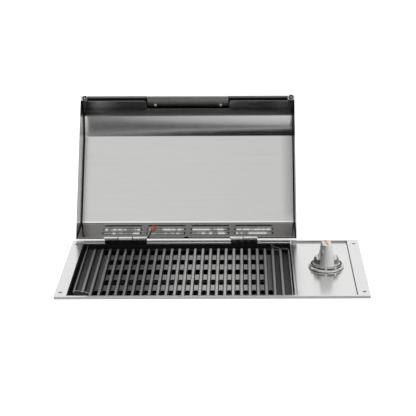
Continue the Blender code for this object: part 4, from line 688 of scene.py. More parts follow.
@dataclass(frozen=True)
class HeatTinted(Finish):
    """Alloy sheath that heat has turned dark, with straw and blue bands.

    Attributes:
        straw: Colour of its sooty patches.
        blue: Colour of its spots.
    """

    straw: Colour = (0.05, 0.042, 0.036)
    blue: Colour = (0.03, 0.032, 0.04)

    def wire(self, tree: MaterialTree) -> None:
        """Adds heat colours in soft bands and a dry, scaled skin.

        Args:
            tree: The material's tree.
        """
        soot_and_shade = tree.effect(Effect.SOOT, 1 / 0.025)
        skin = tree.effect(Effect.CAST_SKIN, 1 / 0.0009)["Height"]
        straw = tree.blend(soot_and_shade["SootAndShade"], self.colour, self.straw)
        colour = tree.blend(soot_and_shade["Spot"], straw, self.blue)
        rough = tree.plus(self.roughness, tree.times(soot_and_shade["SootAndShade"], 0.12))
        tree.lay(colour, rough, 0.7, (skin, 0.00008, 0.3))


@dataclass(frozen=True)
class ZincSheet(Finish):
    """Galvanised sheet with a flat crystal spangle."""

    def wire(self, tree: MaterialTree) -> None:
        """Adds the spangle to the colour and the roughness.

        Args:
            tree: The material's tree.
        """
        crystal = tree.add("TexVoronoi", {"Vector": tree.place, "Scale": 170.0}).outputs["Color"]
        shade = tree.add("SeparateColor", {"Color": crystal}).outputs[0]
        cloud = tree.effect(Effect.HANDLING, 1 / 0.05)["Cloud"]
        colour = tree.blend(shade, self.tint(0.88), self.tint(1.1))
        rough = tree.plus(tree.spread(shade, self.roughness - 0.08, self.roughness + 0.06),
                          tree.times(cloud, 0.06))
        tree.lay(colour, rough, 0.9, (shade, 0.00003, 0.2))


# Painted shade and highlight: the front wall darker, the opening's rear wall near black below its top,
# the recess's rear wall dark, a painted highlight along the panel's rear fold, and dark lines at the
# recess's right wall and on the panel's left shoulder.
FASCIA_STEEL = BrushedSheet("brushed fascia steel", (0.79, 0.79, 0.785), 0.2, zones=(
    Zone(grey(0.42), y=(-FAR, -0.0042), z=(-FAR, 0.0040)),
    Zone(grey(0.02), (-FAR, 0.142), (0.2840, 0.2860), (-FAR, 0.0014)),
    Zone(grey(0.2), (0.1435, 0.2460), (0.2872, 0.2884), (0.0022, 0.0040)),
    Zone((0.98, 0.98, 0.97), (0.1450, 0.2430), (0.2800, 0.2862), (0.0010, 0.0022), 0.0010),
    Zone(grey(0.1), (0.2440, 0.2455), (0.0012, 0.2870), (-FAR, 0.0044)),
    Zone(grey(0.36), (0.1424, 0.1440), (0.0012, 0.2870), (0.0010, 0.0022), 0.0012)))
# Painted highlight along the fold at the rear wall's top; painted shade towards the roof's right end; a
# black strip at the middle of the rear rim; painted shade over the front wall, darkest near its fold
# with the slope.
LINER_STEEL = ShadedEndsSheet("hood liner steel", (0.67, 0.67, 0.665), 0.14, haze=0.02, zones=(
    Zone((0.95, 0.95, 0.94), y=(0.3785, 0.3900), z=(0.0116, 0.0136)),
    Zone(grey(0.36), (0.1520, FAR), (0.3785, FAR), (0.0300, 0.1560), 0.0260),
    Zone(grey(0.01), (-0.0578, -0.0506), (0.0, 0.2968)),
    Zone(grey(0.36), y=(0.4400, FAR), z=(0.2010, 0.2315), soft=0.0010),
    Zone(grey(0.2), y=(0.4400, FAR), z=(0.2010, 0.2140), soft=0.0060)))
SHELL_STEEL = BrushedSheet("hood shell steel", (0.84, 0.84, 0.83), 0.2, contrast=0.03)
# Painted shade: the shell's inside near black, with a painted lighter band along the front rim.
SHELL_INSIDE_SHADE = Moulding("dulled shell inside", grey(0.03), 0.6, 0.0008, gloss=0.0, zones=(
    Zone(grey(0.4), y=(0.4400, FAR), z=(0.2402, FAR), soft=0.0016),))
# Painted reflection patches and painted shade at the louvres' ends.
LOUVRE_STEEL = PatchyReflectionMetal("pressed louvre steel", (1.0, 1.0, 0.99), 0.08)
# Painted highlight: the plate lighter towards its top edge.
PLATE_STEEL = BrushedSheet("handle plate steel", (0.5, 0.5, 0.49), 0.34, contrast=0.05, zones=(
    Zone((0.95, 0.94, 0.92), y=(0.4400, FAR), z=(0.2350, FAR), soft=0.0090),))
RING_STEEL = RingMetal("polished ring steel", (0.72, 0.72, 0.71), 0.14)
FRAME_SCREW_STEEL = PolishedMetal("dull screw steel", grey(0.13), 0.3)
SATIN_STEEL = BrushedSheet("satin steel", (0.56, 0.56, 0.55), 0.34, Grain.EVEN, 1400.0, 0.05)
POLISHED_STEEL = PolishedMetal("polished steel", (0.72, 0.72, 0.71), 0.14)
SCREW_STEEL = PolishedMetal("screw steel", (0.62, 0.62, 0.61), 0.22)
# Painted shade: dark lines in the gaps between the barrels' knuckles.
HINGE_STEEL = HingeMetal("hinge steel", (0.96, 0.96, 0.95), 0.22, zones=tuple(
    Zone(grey(0.03), (x - 0.0006, x + 0.0006), (0.2884, FAR)) for x in (-0.1816, -0.1547, 0.0520)))
PIN_STEEL = PolishedMetal("dull pin steel", (0.02, 0.021, 0.02), 0.45)
KNOB_METAL = BrushedSheet("satin knob metal", (0.7, 0.7, 0.69), 0.3, Grain.ALONG_Z, 1500.0, 0.04)
KNOB_SIDES = BrushedSheet("shaded knob sides", grey(0.24), 0.3, Grain.ALONG_Z, 1500.0, 0.1)
GRATE_CASTING = CoatedCasting("coated grate casting", grey(0.13), 0.42)
TUB_ENAMEL = Enamel("black tub enamel", (0.008, 0.008, 0.009), 0.55)
ELEMENT_ALLOY = HeatTinted("heat-darkened sheath", (0.03, 0.028, 0.027), 0.5)
CASING_ZINC = ZincSheet("galvanised casing", (0.46, 0.47, 0.48), 0.45)
PLATE_ZINC = ZincSheet("zinc plate", (0.62, 0.62, 0.64), 0.38)
BUFFER_RUBBER = Moulding("dark rubber", grey(0.05), 0.62, 0.0005)
CAP_RUBBER = Moulding("orange-red rubber", (0.5, 0.06, 0.028), 0.5, 0.0006)
POINTER_INLAY = Moulding("orange-red inlay", (0.85, 0.27, 0.06), 0.45, 0.0005)
BLACK_PLASTIC = Moulding("black plastic", (0.02, 0.02, 0.021), 0.42, 0.0004)
PALE_CERAMIC = Moulding("pale ceramic", (0.78, 0.76, 0.7), 0.35, 0.0008, 0.15, 0.3)
BROWN_WIRE = Moulding("brown insulation", (0.16, 0.07, 0.03), 0.5, 0.0004)
BLUE_WIRE = Moulding("blue insulation", (0.03, 0.08, 0.35), 0.5, 0.0004)
RED_WIRE = Moulding("red insulation", (0.45, 0.03, 0.02), 0.5, 0.0004)
GREEN_WIRE = Moulding("green insulation", (0.1, 0.32, 0.06), 0.5, 0.0004)


def is_sharp(edge: bmesh.types.BMEdge, angle: float) -> bool:
    """Tells whether an edge's two faces meet at more than an angle."""
    return edge.is_manifold and edge.calc_face_angle() > angle


def middle_of(node: str) -> Vector:
    """Returns the middle of a CAD node's box."""
    low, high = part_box(node)
    return Vector([(start + end) / 2 for start, end in zip(low, high)])


def made_object(bm: Mesh, name: str) -> bpy.types.Object:
    """Makes an object of a mesh and links it to the scene.

    Args:
        bm: The mesh, which is freed.
        name: Name of the object.

    Returns:
        The object.
    """
    mesh = bpy.data.meshes.new(name)
    bm.to_mesh(mesh)
    bm.free()
    made = bpy.data.objects.new(name, mesh)
    bpy.context.scene.collection.objects.link(made)
    return made


@dataclass
class SubAssembly:
    """A group of pieces that ride on one body.

    Attributes:
        body: Name of the CAD body that carries them.
        edge: Rounding of their edges, in metres.
    """

    body: str
    edge: float = 0.0002

    @staticmethod
    def merged(node: str, flats: bool = True) -> Mesh:
        """Copies a node's mesh and merges its points.

        Args:
            node: The CAD node.
            flats: Whether its level faces are joined too.

        Returns:
            The copy.
        """
        bm = bmesh.new()
        bm.from_mesh(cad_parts[node].data)
        bmesh.ops.remove_doubles(bm, verts=bm.verts, dist=MERGE)
        if flats:
            bmesh.ops.dissolve_limit(bm, angle_limit=FLAT_ANGLE, verts=bm.verts, edges=bm.edges)
        return bm

    @staticmethod
    def rounded(bm: Mesh, edges: list[bmesh.types.BMEdge], width: float,
                steps: int = BEVEL_STEPS) -> None:
        """Rounds edges of a mesh.

        Args:
            bm: The mesh.
            edges: The edges.
            width: Size of the rounding, in metres.
            steps: Its segments.
        """
        bmesh.ops.bevel(bm, geom=edges, offset=width, offset_type="OFFSET", affect="EDGES",
                        segments=steps, profile=0.5, material=-1, clamp_overlap=True)

    def soften(self, bm: Mesh, width: float, angle: float = EDGE_ANGLE) -> None:
        """Rounds the edges of a mesh and cuts its faces into triangles.

        Args:
            bm: The mesh.
            width: Size of the rounding, in metres; zero leaves the edges.
            angle: Least angle between two faces that counts as an edge.
        """
        if width > 0:
            self.rounded(bm, [edge for edge in bm.edges if is_sharp(edge, angle)], width)
        bmesh.ops.triangulate(bm, faces=bm.faces)

    @staticmethod
    def sliced(bm: Mesh, axis: int, places: list[float]) -> None:
        """Cuts a mesh through, square to an axis.

        Args:
            bm: The mesh.
            axis: Number of the axis.
            places: Where on the axis it is cut.
        """
        normal = Vector([float(i == axis) for i in range(3)])
        for at in places:
            bmesh.ops.bisect_plane(bm, geom=[*bm.verts, *bm.edges, *bm.faces], dist=CUT_TOLERANCE,
                                   plane_co=normal * at, plane_no=normal)

    @staticmethod
    def turned(profile: list[Pair], steps: int = 40) -> Mesh:
        """Spins an open profile round Z into a solid.

        Args:
            profile: Its radii and heights.
            steps: Faces round the solid.

        Returns:
            The solid's mesh.
        """
        bm = bmesh.new()
        line = [bm.verts.new((radius, 0.0, height)) for radius, height in profile]
        edges = [bm.edges.new(pair) for pair in zip(line, line[1:])]
        bmesh.ops.spin(bm, geom=[*line, *edges], cent=(0, 0, 0), axis=(0, 0, 1), angle=math.tau,
                       steps=steps, use_merge=True)
        bmesh.ops.remove_doubles(bm, verts=bm.verts, dist=MERGE)
        bmesh.ops.recalc_face_normals(bm, faces=bm.faces)
        return bm

    def place(self, bm: Mesh, name: str, finish: Finish, slot: str, *nodes: str) -> bpy.types.Object:
        """Makes a piece, dresses it, lets it ride and hides the nodes that it stands for.

        Args:
            bm: The piece's mesh, which is freed.
            name: Name of the piece.
            finish: Its finish.
            slot: Not used.
            nodes: CAD nodes that it replaces.

        Returns:
            The piece, smooth up to the sharp angle.
        """
        for face in bm.faces:
            face.smooth = True
        for edge in bm.edges:
            edge.smooth = not is_sharp(edge, SMOOTH_ANGLE)
        piece = made_object(bm, name)
        piece.modifiers.new("face normals", "WEIGHTED_NORMAL").keep_sharp = True
        piece.data.materials.append(finish.material())
        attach(piece, self.body)
        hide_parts(*nodes)
        LOG.info("%s: %d faces, %s", piece.name, len(piece.data.polygons), finish.name)
        return piece

    def eased(self, node: str, name: str, finish: Finish, slot: str, width: float | None = None,
              angle: float = EDGE_ANGLE, flats: bool = True) -> bpy.types.Object:
        """Replaces a node by a copy of its mesh with merged points and rounded edges.

        Args:
            node: The CAD node.
            name: Name of the new piece.
            finish: Its finish.
            slot: The record's material slot.
            width: Size of the rounding, if not the sub-assembly's own.
            angle: Least angle between two faces that counts as an edge.
            flats: Whether level faces are joined before the rounding.

        Returns:
            The new piece.
        """
        bm = self.merged(node, flats)
        self.soften(bm, self.edge if width is None else width, angle)
        return self.place(bm, name, finish, slot, node)

    def dress(self, finish: Finish, *nodes: str) -> None:
        """Gives CAD nodes that stay a finish.

        Args:
            finish: The finish.
            nodes: Names of the nodes.
        """
        for name in nodes:
            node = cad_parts[name]
            if not node.material_slots:
                node.data.materials.append(finish.material())
            for slot in node.material_slots:
                slot.material = finish.material()
            LOG.info("%s: kept, %s", name, finish.name)


@dataclass
class Fascia(SubAssembly):
    """The stainless frame on the worktop with its four screws.

    Attributes:
        edge: Rounding of the sheet's edges, in metres.
    """

    edge: float = 0.0003

    def build(self) -> None:
        """Builds the frame and its screws."""
        self.eased("fascia_frame", "fascia", FASCIA_STEEL, "brushed_steel", flats=False)
        for side in ("front_left", "rear_left", "front_right", "rear_right"):
            self.eased("fixing_screw_" + side, "screw_" + side, FRAME_SCREW_STEEL, "polished_steel",
                       self.edge / 2)


@dataclass
class Firebox(SubAssembly):
    """Casing, tub, heating element and drip tray below the worktop."""

    def build(self) -> None:
        """Dresses what stays of the firebox."""
        self.dress(CASING_ZINC, "casing")
        self.dress(TUB_ENAMEL, "firebox_tub")
        self.dress(ELEMENT_ALLOY, "heating_element")
        self.dress(SATIN_STEEL, "drip_tray", "element_support_left", "element_support_right")
        self.dress(PLATE_ZINC, "terminal_plate_front", "terminal_plate_rear")


@dataclass
class Supply(SubAssembly):
    """Regulator, terminal block, gland and leads in the panel's compartment."""

    def build(self) -> None:
        """Dresses the electrical pieces."""
        self.dress(BLACK_PLASTIC, "heat_regulator", "cable_gland", "gland_nut")
        self.dress(PALE_CERAMIC, "terminal_block")
        self.dress(BROWN_WIRE, "lead_live")
        self.dress(BLUE_WIRE, "lead_neutral")
        self.dress(RED_WIRE, "lead_switched")
        self.dress(GREEN_WIRE, "lead_earth")


@dataclass
class Hinges(SubAssembly):
    """Hinge leaves and the fixed pin on the frame's side."""

    def build(self) -> None:
        """Builds the frame's hinge halves."""
        for side in ("left", "right"):
            self.eased("hinge_frame_leaf_" + side, "hinge_lower_" + side, HINGE_STEEL, "satin_steel")
        self.dress(POLISHED_STEEL, "hinge_pin_right")


@dataclass
class Grate(SubAssembly):
    """The cast cooking grate.

    Attributes:
        edge: Rounding of the plate's edges, in metres.
        edge_angle: Least angle between two faces of such an edge.
        crown: Rounding of the ridges' tops.
        crown_steps: Segments of that rounding.
        widen: How far a ridge's top is widened either way.
        slot_rows: Y of the first row of slots and the distance from row to row.
        slot_end: Where a slot's rear end starts and stops in its row, and how far it moves back.
        slot_reach: Y between which the slots lie.
        slot_top: Height under which the slots lie.
        rim: Heights between which a finger cut-out's rim has its top.
        rim_reach: Distance from the corner within which the rim lies, in sizes of the cut-out.
        rim_rise: How far the rim is raised.
    """

    edge: float = 0.0004
    edge_angle: float = math.radians(40)
    crown: float = 0.0013
    crown_steps: int = 3
    widen: float = 0.0008
    slot_rows: Pair = (0.0357, 0.0531)
    slot_end: tuple[float, float, float] = (0.0078, 0.0126, 0.0042)
    slot_reach: Pair = (0.03, 0.27)
    slot_top: float = -0.0050
    rim: Pair = (-0.0030, -0.0010)
    rim_reach: float = 1.12
    rim_rise: float = 0.0034

    def build(self) -> None:
        """Builds the grate from the node's mesh."""
        bm = self.merged("cooking_grate")
        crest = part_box("cooking_grate")[1][2] - 0.0002
        self.widen_ridges(bm, crest)
        self.lengthen_slots(bm)
        self.raise_rims(bm)
        tops = [edge for edge in bm.edges if is_sharp(edge, EDGE_ANGLE)
                and min(vert.co.z for vert in edge.verts) > crest]
        self.rounded(bm, tops, self.crown, self.crown_steps)
        self.soften(bm, self.edge, self.edge_angle)
        self.place(bm, "grate", GRATE_CASTING, "coated_casting", "cooking_grate")

    def widen_ridges(self, bm: Mesh, crest: float) -> None:
        """Widens the top faces of the ridges.

        Args:
            bm: The grate's mesh.
            crest: Height over which the tops lie.
        """
        ways = {}
        for face in bm.faces:
            if face.normal.z > 0.9 and min(vert.co.z for vert in face.verts) > crest:
                middle = sum(vert.co.x for vert in face.verts) / len(face.verts)
                ways.update({vert: math.copysign(self.widen, vert.co.x - middle)
                             for vert in face.verts})
        for vert, way in ways.items():
            vert.co.x += way

    def lengthen_slots(self, bm: Mesh) -> None:
        """Draws the slots' rear ends out.

        Args:
            bm: The grate's mesh.
        """
        first, pitch = self.slot_rows
        start, end, longer = self.slot_end
        front, rear = self.slot_reach
        for vert in bm.verts:
            in_row = start < (vert.co.y - first) % pitch < end
            if in_row and vert.co.z < self.slot_top and front < vert.co.y < rear:
                vert.co.y += longer

    def raise_rims(self, bm: Mesh) -> None:
        """Raises the rims of the two finger cut-outs.

        Args:
            bm: The grate's mesh.
        """
        wide, deep = GRATE_CASTING.finger
        low, high = self.rim
        for vert in bm.verts:
            away = min(math.hypot((vert.co.x - x) / wide, (vert.co.y - y) / deep)
                       for x, y in GRATE_CASTING.corners)
            if away < self.rim_reach and low < vert.co.z < high:
                vert.co.z += self.rim_rise


@dataclass(frozen=True)
class Louvre:
    """One raised louvre: a pressed scoop on the liner's rear wall.

    Attributes:
        length: Length along the hood.
        width: Width of its foot.
        rise: Height of its crown over the sheet.
        root: Share of that height that it reaches down into the sheet.
        faces: Its faces along and round.
    """

    length: float = 0.0745
    width: float = 0.0105
    rise: float = 0.0026
    root: float = 0.2
    faces: tuple[int, int] = (28, 20)

    def add(self, bm: Mesh, middle: Vector) -> None:
        """Adds the louvre to a mesh, its foot in the sheet.

        Args:
            bm: The mesh of all louvres.
            middle: Middle of its foot.
        """
        side = self.width / 2
        lying = Matrix.Rotation(math.pi / 2, 4, "Y")
        made = bmesh.ops.create_uvsphere(bm, u_segments=self.faces[0], v_segments=self.faces[1],
                                         radius=1.0, matrix=lying)["verts"]
        bmesh.ops.scale(bm, verts=made, vec=(side, side, self.rise))
        bmesh.ops.scale(bm, verts=[vert for vert in made if vert.co.z < 0], vec=(1.0, 1.0, self.root))
        for way in (-1.0, 1.0):
            bmesh.ops.translate(bm, verts=[vert for vert in made if vert.co.x * way > MERGE],
                                vec=(way * (self.length / 2 - side), 0.0, 0.0))
        bmesh.ops.translate(bm, verts=made, vec=middle)


@dataclass
class Hood(SubAssembly):
    """Outer skin, liner, handle, plate, buffers and hinge halves of the hood.

    Attributes:
        slope: Heights between which the liner's slope lies, in metres, with the hood open.
        bow: Swelling of the slope towards the inside.
        twist: Share by which the bow grows towards the right end.
        roll: Width and depth of the rolled side edges.
        louvre_rows: Y of the raised louvre rows.
        louvre_places: X of the middles of a row's louvres.
        sheet_top: Height of the liner's rear wall.
        buffer_foot: Y and Z where the buffers stand on the hood's corner tabs.
        down: Way the buffers point, with the hood open.
        front: Way out through the front wall, with the hood open.
        front_skin: Distance along that way beyond which the front wall's skin lies.
        lip: How far the liner's front lip is turned out.
        flare: Width of the liner's rim at the front, which is set in.
        set_in: How far the rim is set in.
        open_row: Y of the row of open slots and how far a slot is widened either way.
        open_reach: Greatest distance of a slot's edge from that row.
        heart: A point inside the hood.
    """

    slope: Pair = (0.1577, 0.1998)
    bow: float = 0.0010
    twist: float = 0.55
    roll: Pair = (0.0050, 0.0004)
    louvre_rows: Pair = (0.3178, 0.3410)
    louvre_places: tuple[float, ...] = (-0.1768, -0.0938, -0.0108, 0.0722)
    sheet_top: float = 0.0106
    buffer_foot: Pair = (0.4526, 0.2393)
    down: Point = (0.0, -0.8192, 0.5736)
    front: Point = (0.0, 0.7071, 0.7071)
    front_skin: float = 0.4860
    lip: float = 0.0010
    flare: float = 0.0068
    set_in: float = 0.0060
    open_row: Pair = (0.3629, 0.0012)
    open_reach: float = 0.006
    heart: Point = (-0.054, 0.41, 0.12)

    def build(self) -> None:
        """Builds the hood's pieces."""
        self.shell()
        self.liner()
        self.louvres()
        self.eased("handle_mount_plate", "handle_plate", PLATE_STEEL, "satin_steel")
        self.eased("lid_handle", "handle_bar", POLISHED_STEEL, "polished_steel",
                   angle=math.radians(60))
        for side in ("left", "right"):
            self.eased("hinge_lid_leaf_" + side, "hinge_upper_" + side, HINGE_STEEL, "satin_steel")
            self.plate_screw(side)
            self.buffer(side)

    def shell(self) -> None:
        """Builds the outer skin, bright outside and at its ends, with painted shade behind the liner."""
        piece = self.eased("lid_shell", "hood_shell", SHELL_STEEL, "brushed_steel")
        # Inward faces other than the ends take the painted shade.
        piece.data.materials.append(SHELL_INSIDE_SHADE.material())
        heart = Vector(self.heart)
        for face in piece.data.polygons:
            inwards = (heart - face.center).dot(face.normal) > 0
            face.material_index = int(inwards and abs(face.normal.x) < 0.5)

    def louvres(self) -> None:
        """Builds the raised louvres of the liner's rear wall."""
        bm = bmesh.new()
        for row in self.louvre_rows:
            for across in self.louvre_places:
                Louvre().add(bm, Vector((across, row, self.sheet_top)))
        self.place(bm, "hood_louvres", LOUVRE_STEEL, "brushed_steel", "lid_liner")

    def plate_screw(self, side: str) -> None:
        """Builds the domed, socketed head of a screw that holds the handle.

        Args:
            side: Left or right.
        """
        node = "handle_screw_" + side
        inwards = -Vector(self.front)
        points = [vert.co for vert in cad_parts[node].data.vertices]
        tall = max(point.dot(inwards) for point in points)
        ends = [point for point in points if point.dot(inwards) > tall - 0.0001]
        crown = sum(ends, Vector()) / len(ends)
        bm = self.turned([(0.0, -0.0020), (0.0032, -0.0020), (0.0034, -0.0017), (0.0032, -0.0010),
                          (0.0027, -0.0005), (0.0020, -0.0001), (0.0013, 0.0), (0.0010, -0.0007),
                          (0.0, -0.0008)])
        turn = inwards.to_track_quat("Z", "Y").to_matrix().to_4x4()
        bmesh.ops.transform(bm, matrix=Matrix.Translation(crown) @ turn, verts=bm.verts)
        self.place(bm, "plate_screw_" + side, POLISHED_STEEL, "polished_steel", node)

    def liner(self) -> None:
        """Builds the liner: wider open slots, bowed slope, rolled sides and turned front lip."""
        bm = self.merged("lid_liner")
        left, right = (corner[0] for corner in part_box("lid_liner"))
        self.slice_liner(bm, left, right)
        middle, half = (left + right) / 2, (right - left) / 2
        low, high = self.slope
        wide, deep = self.roll
        row, wider = self.open_row
        for vert in bm.verts:
            x, y, z = vert.co
            if z < self.sheet_top + 0.001 and abs(y - row) < self.open_reach:
                vert.co.y += math.copysign(wider, y - row)
            up = (z - low) / (high - low)
            if 0.0 < up < 1.0:
                vert.co.y -= self.bow * 4 * up * (1 - up) * (1 + self.twist * (x - middle) / half)
            inside = min(x - left, right - x)
            if inside < wide:
                vert.co += self.outwards(z) * (deep * (1 - inside / wide) ** 2)
        self.turn_lip(bm)
        self.soften(bm, self.edge / 2, math.radians(50))
        self.place(bm, "hood_liner", LINER_STEEL, "brushed_steel", "lid_liner")

    def slice_liner(self, bm: Mesh, left: float, right: float) -> None:
        """Cuts the liner where it is bent.

        Args:
            bm: The liner's mesh.
            left: X of its left side.
            right: X of its right side.
        """
        wide = self.roll[0]
        low, high = self.slope
        middle, half = (left + right) / 2, (right - left) / 2
        self.sliced(bm, 0, [left + wide * i / 3 for i in (1, 2, 3)])
        self.sliced(bm, 0, [right - wide * i / 3 for i in (1, 2, 3)])
        self.sliced(bm, 0, [middle + half * i / 6 for i in range(-5, 6)])
        self.sliced(bm, 2, [low + (high - low) * i / 8 for i in range(9)])

    def turn_lip(self, bm: Mesh) -> None:
        """Turns the liner's front lip out and sets its rim in.

        Args:
            bm: The liner's mesh.
        """
        bm.normal_update()
        front, down = Vector(self.front), Vector(self.down)
        upper = [vert for vert in bm.verts if vert.co.z > self.slope[1]]
        edge = max(vert.co.dot(down) for vert in bm.verts if vert.co.z > self.slope[1])
        rim = [vert for vert in upper if vert.co.dot(down) > edge - self.flare]
        ends = {vert for face in bm.faces if face.normal.dot(down) > 0.9 for vert in face.verts}
        lip = [vert for vert in upper if vert in ends and vert.co.dot(front) > self.front_skin]
        bmesh.ops.translate(bm, verts=lip, vec=front * self.lip)
        bmesh.ops.translate(bm, verts=rim, vec=down * -self.set_in)

    def outwards(self, height: float) -> Vector:
        """Finds the way out of the open hood through the wall at a height.

        Args:
            height: The height, in metres.

        Returns:
            The way, one unit long.
        """
        low, high = self.slope
        for top, way in ((self.sheet_top + 0.001, (0.0, 0.0, -1.0)), (low, (0.0, 0.819, -0.573)),
                         (high, (0.0, 0.994, -0.111))):
            if height < top:
                return Vector(way)
        return Vector((0.0, 0.707, 0.707))

    def buffer(self, side: str) -> None:
        """Builds a rubber buffer in its steel cup, with the screw that holds it.

        Args:
            side: Left or right.
        """
        node = "buffer_" + side
        foot = Vector((middle_of(node).x, *self.buffer_foot))
        down = Vector(self.down)
        tall = max((vert.co - foot).dot(down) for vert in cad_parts[node].data.vertices)
        turn = Matrix.Translation(foot) @ down.to_track_quat("Z", "Y").to_matrix().to_4x4()
        seat = tall - 0.0020
        cup = [(0.0, 0.0003), (0.0051, 0.0003), (0.0052, 0.0006), (0.0052, tall - 0.0009),
               (0.0050, tall - 0.0006), (0.0047, tall - 0.0006), (0.0044, tall - 0.0009),
               (0.0043, seat), (0.0, seat)]
        pad = [(0.0020, seat), (0.0020, tall - 0.0006), (0.0024, tall - 0.0003),
               (0.0031, tall - 0.0002), (0.0037, tall - 0.0004), (0.0040, tall - 0.0010),
               (0.0041, seat)]
        head = [(0.0018, seat), (0.0017, tall - 0.0011), (0.0011, tall - 0.0007), (0.0, tall - 0.0006)]
        for name, profile, finish, slot in (("buffer_cup_", cup, SATIN_STEEL, "satin_steel"),
                                            ("hood_buffer_", pad, BUFFER_RUBBER, "grey_rubber"),
                                            ("buffer_screw_", head, SCREW_STEEL, "polished_steel")):
            bm = self.turned(profile)
            bmesh.ops.transform(bm, matrix=turn, verts=bm.verts)
            self.place(bm, name + side, finish, slot, node)


@dataclass
class ReleasePin(SubAssembly):
    """Draw-out hinge pin with its rubber cap."""

    def build(self) -> None:
        """Builds the pin and the cap, whose edges stay as they are."""
        self.eased("release_pin", "draw_pin", PIN_STEEL, "polished_steel", 0.0)
        self.eased("release_pin_cap", "draw_pin_cap", CAP_RUBBER, "cap_rubber", 0.0)


@dataclass
class Bezel(SubAssembly):
    """Ring round the knob's foot: a domed flange and a wall with slots in it.

    Attributes:
        steps: Faces round the ring.
        pitch: Faces from slot to slot.
        web: Faces between two slots.
        shift: Faces by which the first slot is turned on.
        slot_depth: Depth of a slot in the wall, in metres.
        slot_rim: Width of the slope round a slot.
        wall: Radius outside which the wall lies, and the heights between which its slots lie.
    """

    steps: int = 100
    pitch: int = 10
    web: int = 2
    shift: int = 2
    slot_depth: float = 0.0008
    slot_rim: float = 0.0002
    wall: tuple[float, float, float] = (0.0282, 0.0044, 0.0068)

    def build(self) -> None:
        """Builds the ring."""
        bm = self.turned([(0.0262, 0.0), (0.0305, 0.0), (0.0312, 0.0004), (0.0314, 0.0012),
                          (0.0312, 0.0021), (0.0305, 0.0030), (0.0296, 0.0037), (0.0288, 0.0040),
                          (0.0285, 0.0043), (0.0285, 0.0044), (0.0285, 0.0068), (0.0284, 0.0074),
                          (0.0281, 0.0077), (0.0277, 0.0077), (0.0273, 0.0074), (0.0272, 0.0068),
                          (0.0272, 0.0010), (0.0262, 0.0010), (0.0262, 0.0)], self.steps)
        radius, low, high = self.wall
        slots = []
        for face in bm.faces:
            middle = face.calc_center_median()
            if middle.xy.length > radius and low < middle.z < high:
                turn = math.atan2(middle.x, -middle.y) % math.tau
                if int(turn / math.tau * self.steps + self.shift) % self.pitch >= self.web:
                    slots.append(face)
        bmesh.ops.inset_region(bm, faces=slots, thickness=self.slot_rim, depth=-self.slot_depth,
                               use_even_offset=True, use_boundary=True)
        foot = Vector((*middle_of("knob_bezel").xy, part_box("knob_bezel")[0][2]))
        bmesh.ops.translate(bm, verts=bm.verts, vec=foot)
        self.place(bm, "slotted_ring", RING_STEEL, "polished_steel", "knob_bezel")


@dataclass
class Cam(SubAssembly):
    """Cam inside the regulator."""

    def build(self) -> None:
        """Dresses the cam."""
        self.dress(PALE_CERAMIC, "regulator_cam")


@dataclass
class Knob(SubAssembly):
    """Grip knob with its shaft and pointer.

    Attributes:
        edge: Rounding of the knob's edges, in metres.
        edge_angle: Least angle between two faces of such an edge.
        mark_edge: Rounding of the pointer's edges.
        top: Half width and half length of the fin at its top.
        foot: Half width and half length of the fin at its foot.
        corner: Rounding of the fin's upright edges.
        swell: How far the fin's two ends bulge.
        lean: Shift of the bulge to the left, in half widths.
        slices: Slices across half the fin's width, and over its height.
        barrel: Distance from the axis beyond which the shaded cylinder sides lie.
    """

    edge: float = 0.0005
    edge_angle: float = math.radians(40)
    mark_edge: float = 0.0001
    top: Pair = (0.0084, 0.0150)
    foot: Pair = (0.0134, 0.02225)
    corner: float = 0.0017
    swell: float = 0.0028
    lean: float = 0.3
    slices: int = 7
    barrel: float = 0.0196

    def build(self) -> None:
        """Builds the knob with the ends of its fin swelled, its shaft and its pointer."""
        self.dress(SATIN_STEEL, "regulator_shaft")
        bm = self.merged("knob")
        low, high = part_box("knob")
        middle = Vector((*middle_of("knob").xy, 0.0))
        self.swell_fin(bm, middle, low[2], high[2] - low[2])
        self.soften(bm, self.edge, self.edge_angle)
        piece = self.place(bm, "grip_knob", KNOB_METAL, "knob_metal", "knob")
        piece.data.materials.append(KNOB_SIDES.material())
        # Painted shade: the cylinder sides and the faces turned to the left take the shaded finish.
        for face in piece.data.polygons:
            way = (face.center - middle).xy
            side = abs(way.x) > self.foot[0] - 0.0004 and way.length > self.barrel
            face.material_index = int((side and abs(face.normal.z) < 0.5) or face.normal.x < -0.85)
        self.eased("knob_pointer", "knob_mark", POINTER_INLAY, "pointer_orange", self.mark_edge)

    def swell_fin(self, bm: Mesh, middle: Vector, base: float, tall: float) -> None:
        """Swells the two ends of the knob's fin.

        Args:
            bm: The knob's mesh.
            middle: The knob's axis.
            base: Height of the knob's foot.
            tall: Its height over that.
        """
        count = self.slices
        self.sliced(bm, 0, [middle.x + self.foot[0] * i / count for i in range(1 - count, count)])
        self.sliced(bm, 2, [base + tall * i / count for i in range(1, count)])
        for vert in bm.verts:
            up = (vert.co.z - base) / tall
            wide, long = (foot + (top - foot) * up for foot, top in zip(self.foot, self.top))
            across, along = vert.co.x - middle.x, vert.co.y - middle.y
            reach = across / (wide - self.corner)
            share = 1 - ((reach + self.lean) / (1 + self.lean)) ** 2
            if abs(reach) < 1 and abs(along) > long - 0.0009:
                vert.co.y = middle.y + math.copysign(long + self.swell * share, along)


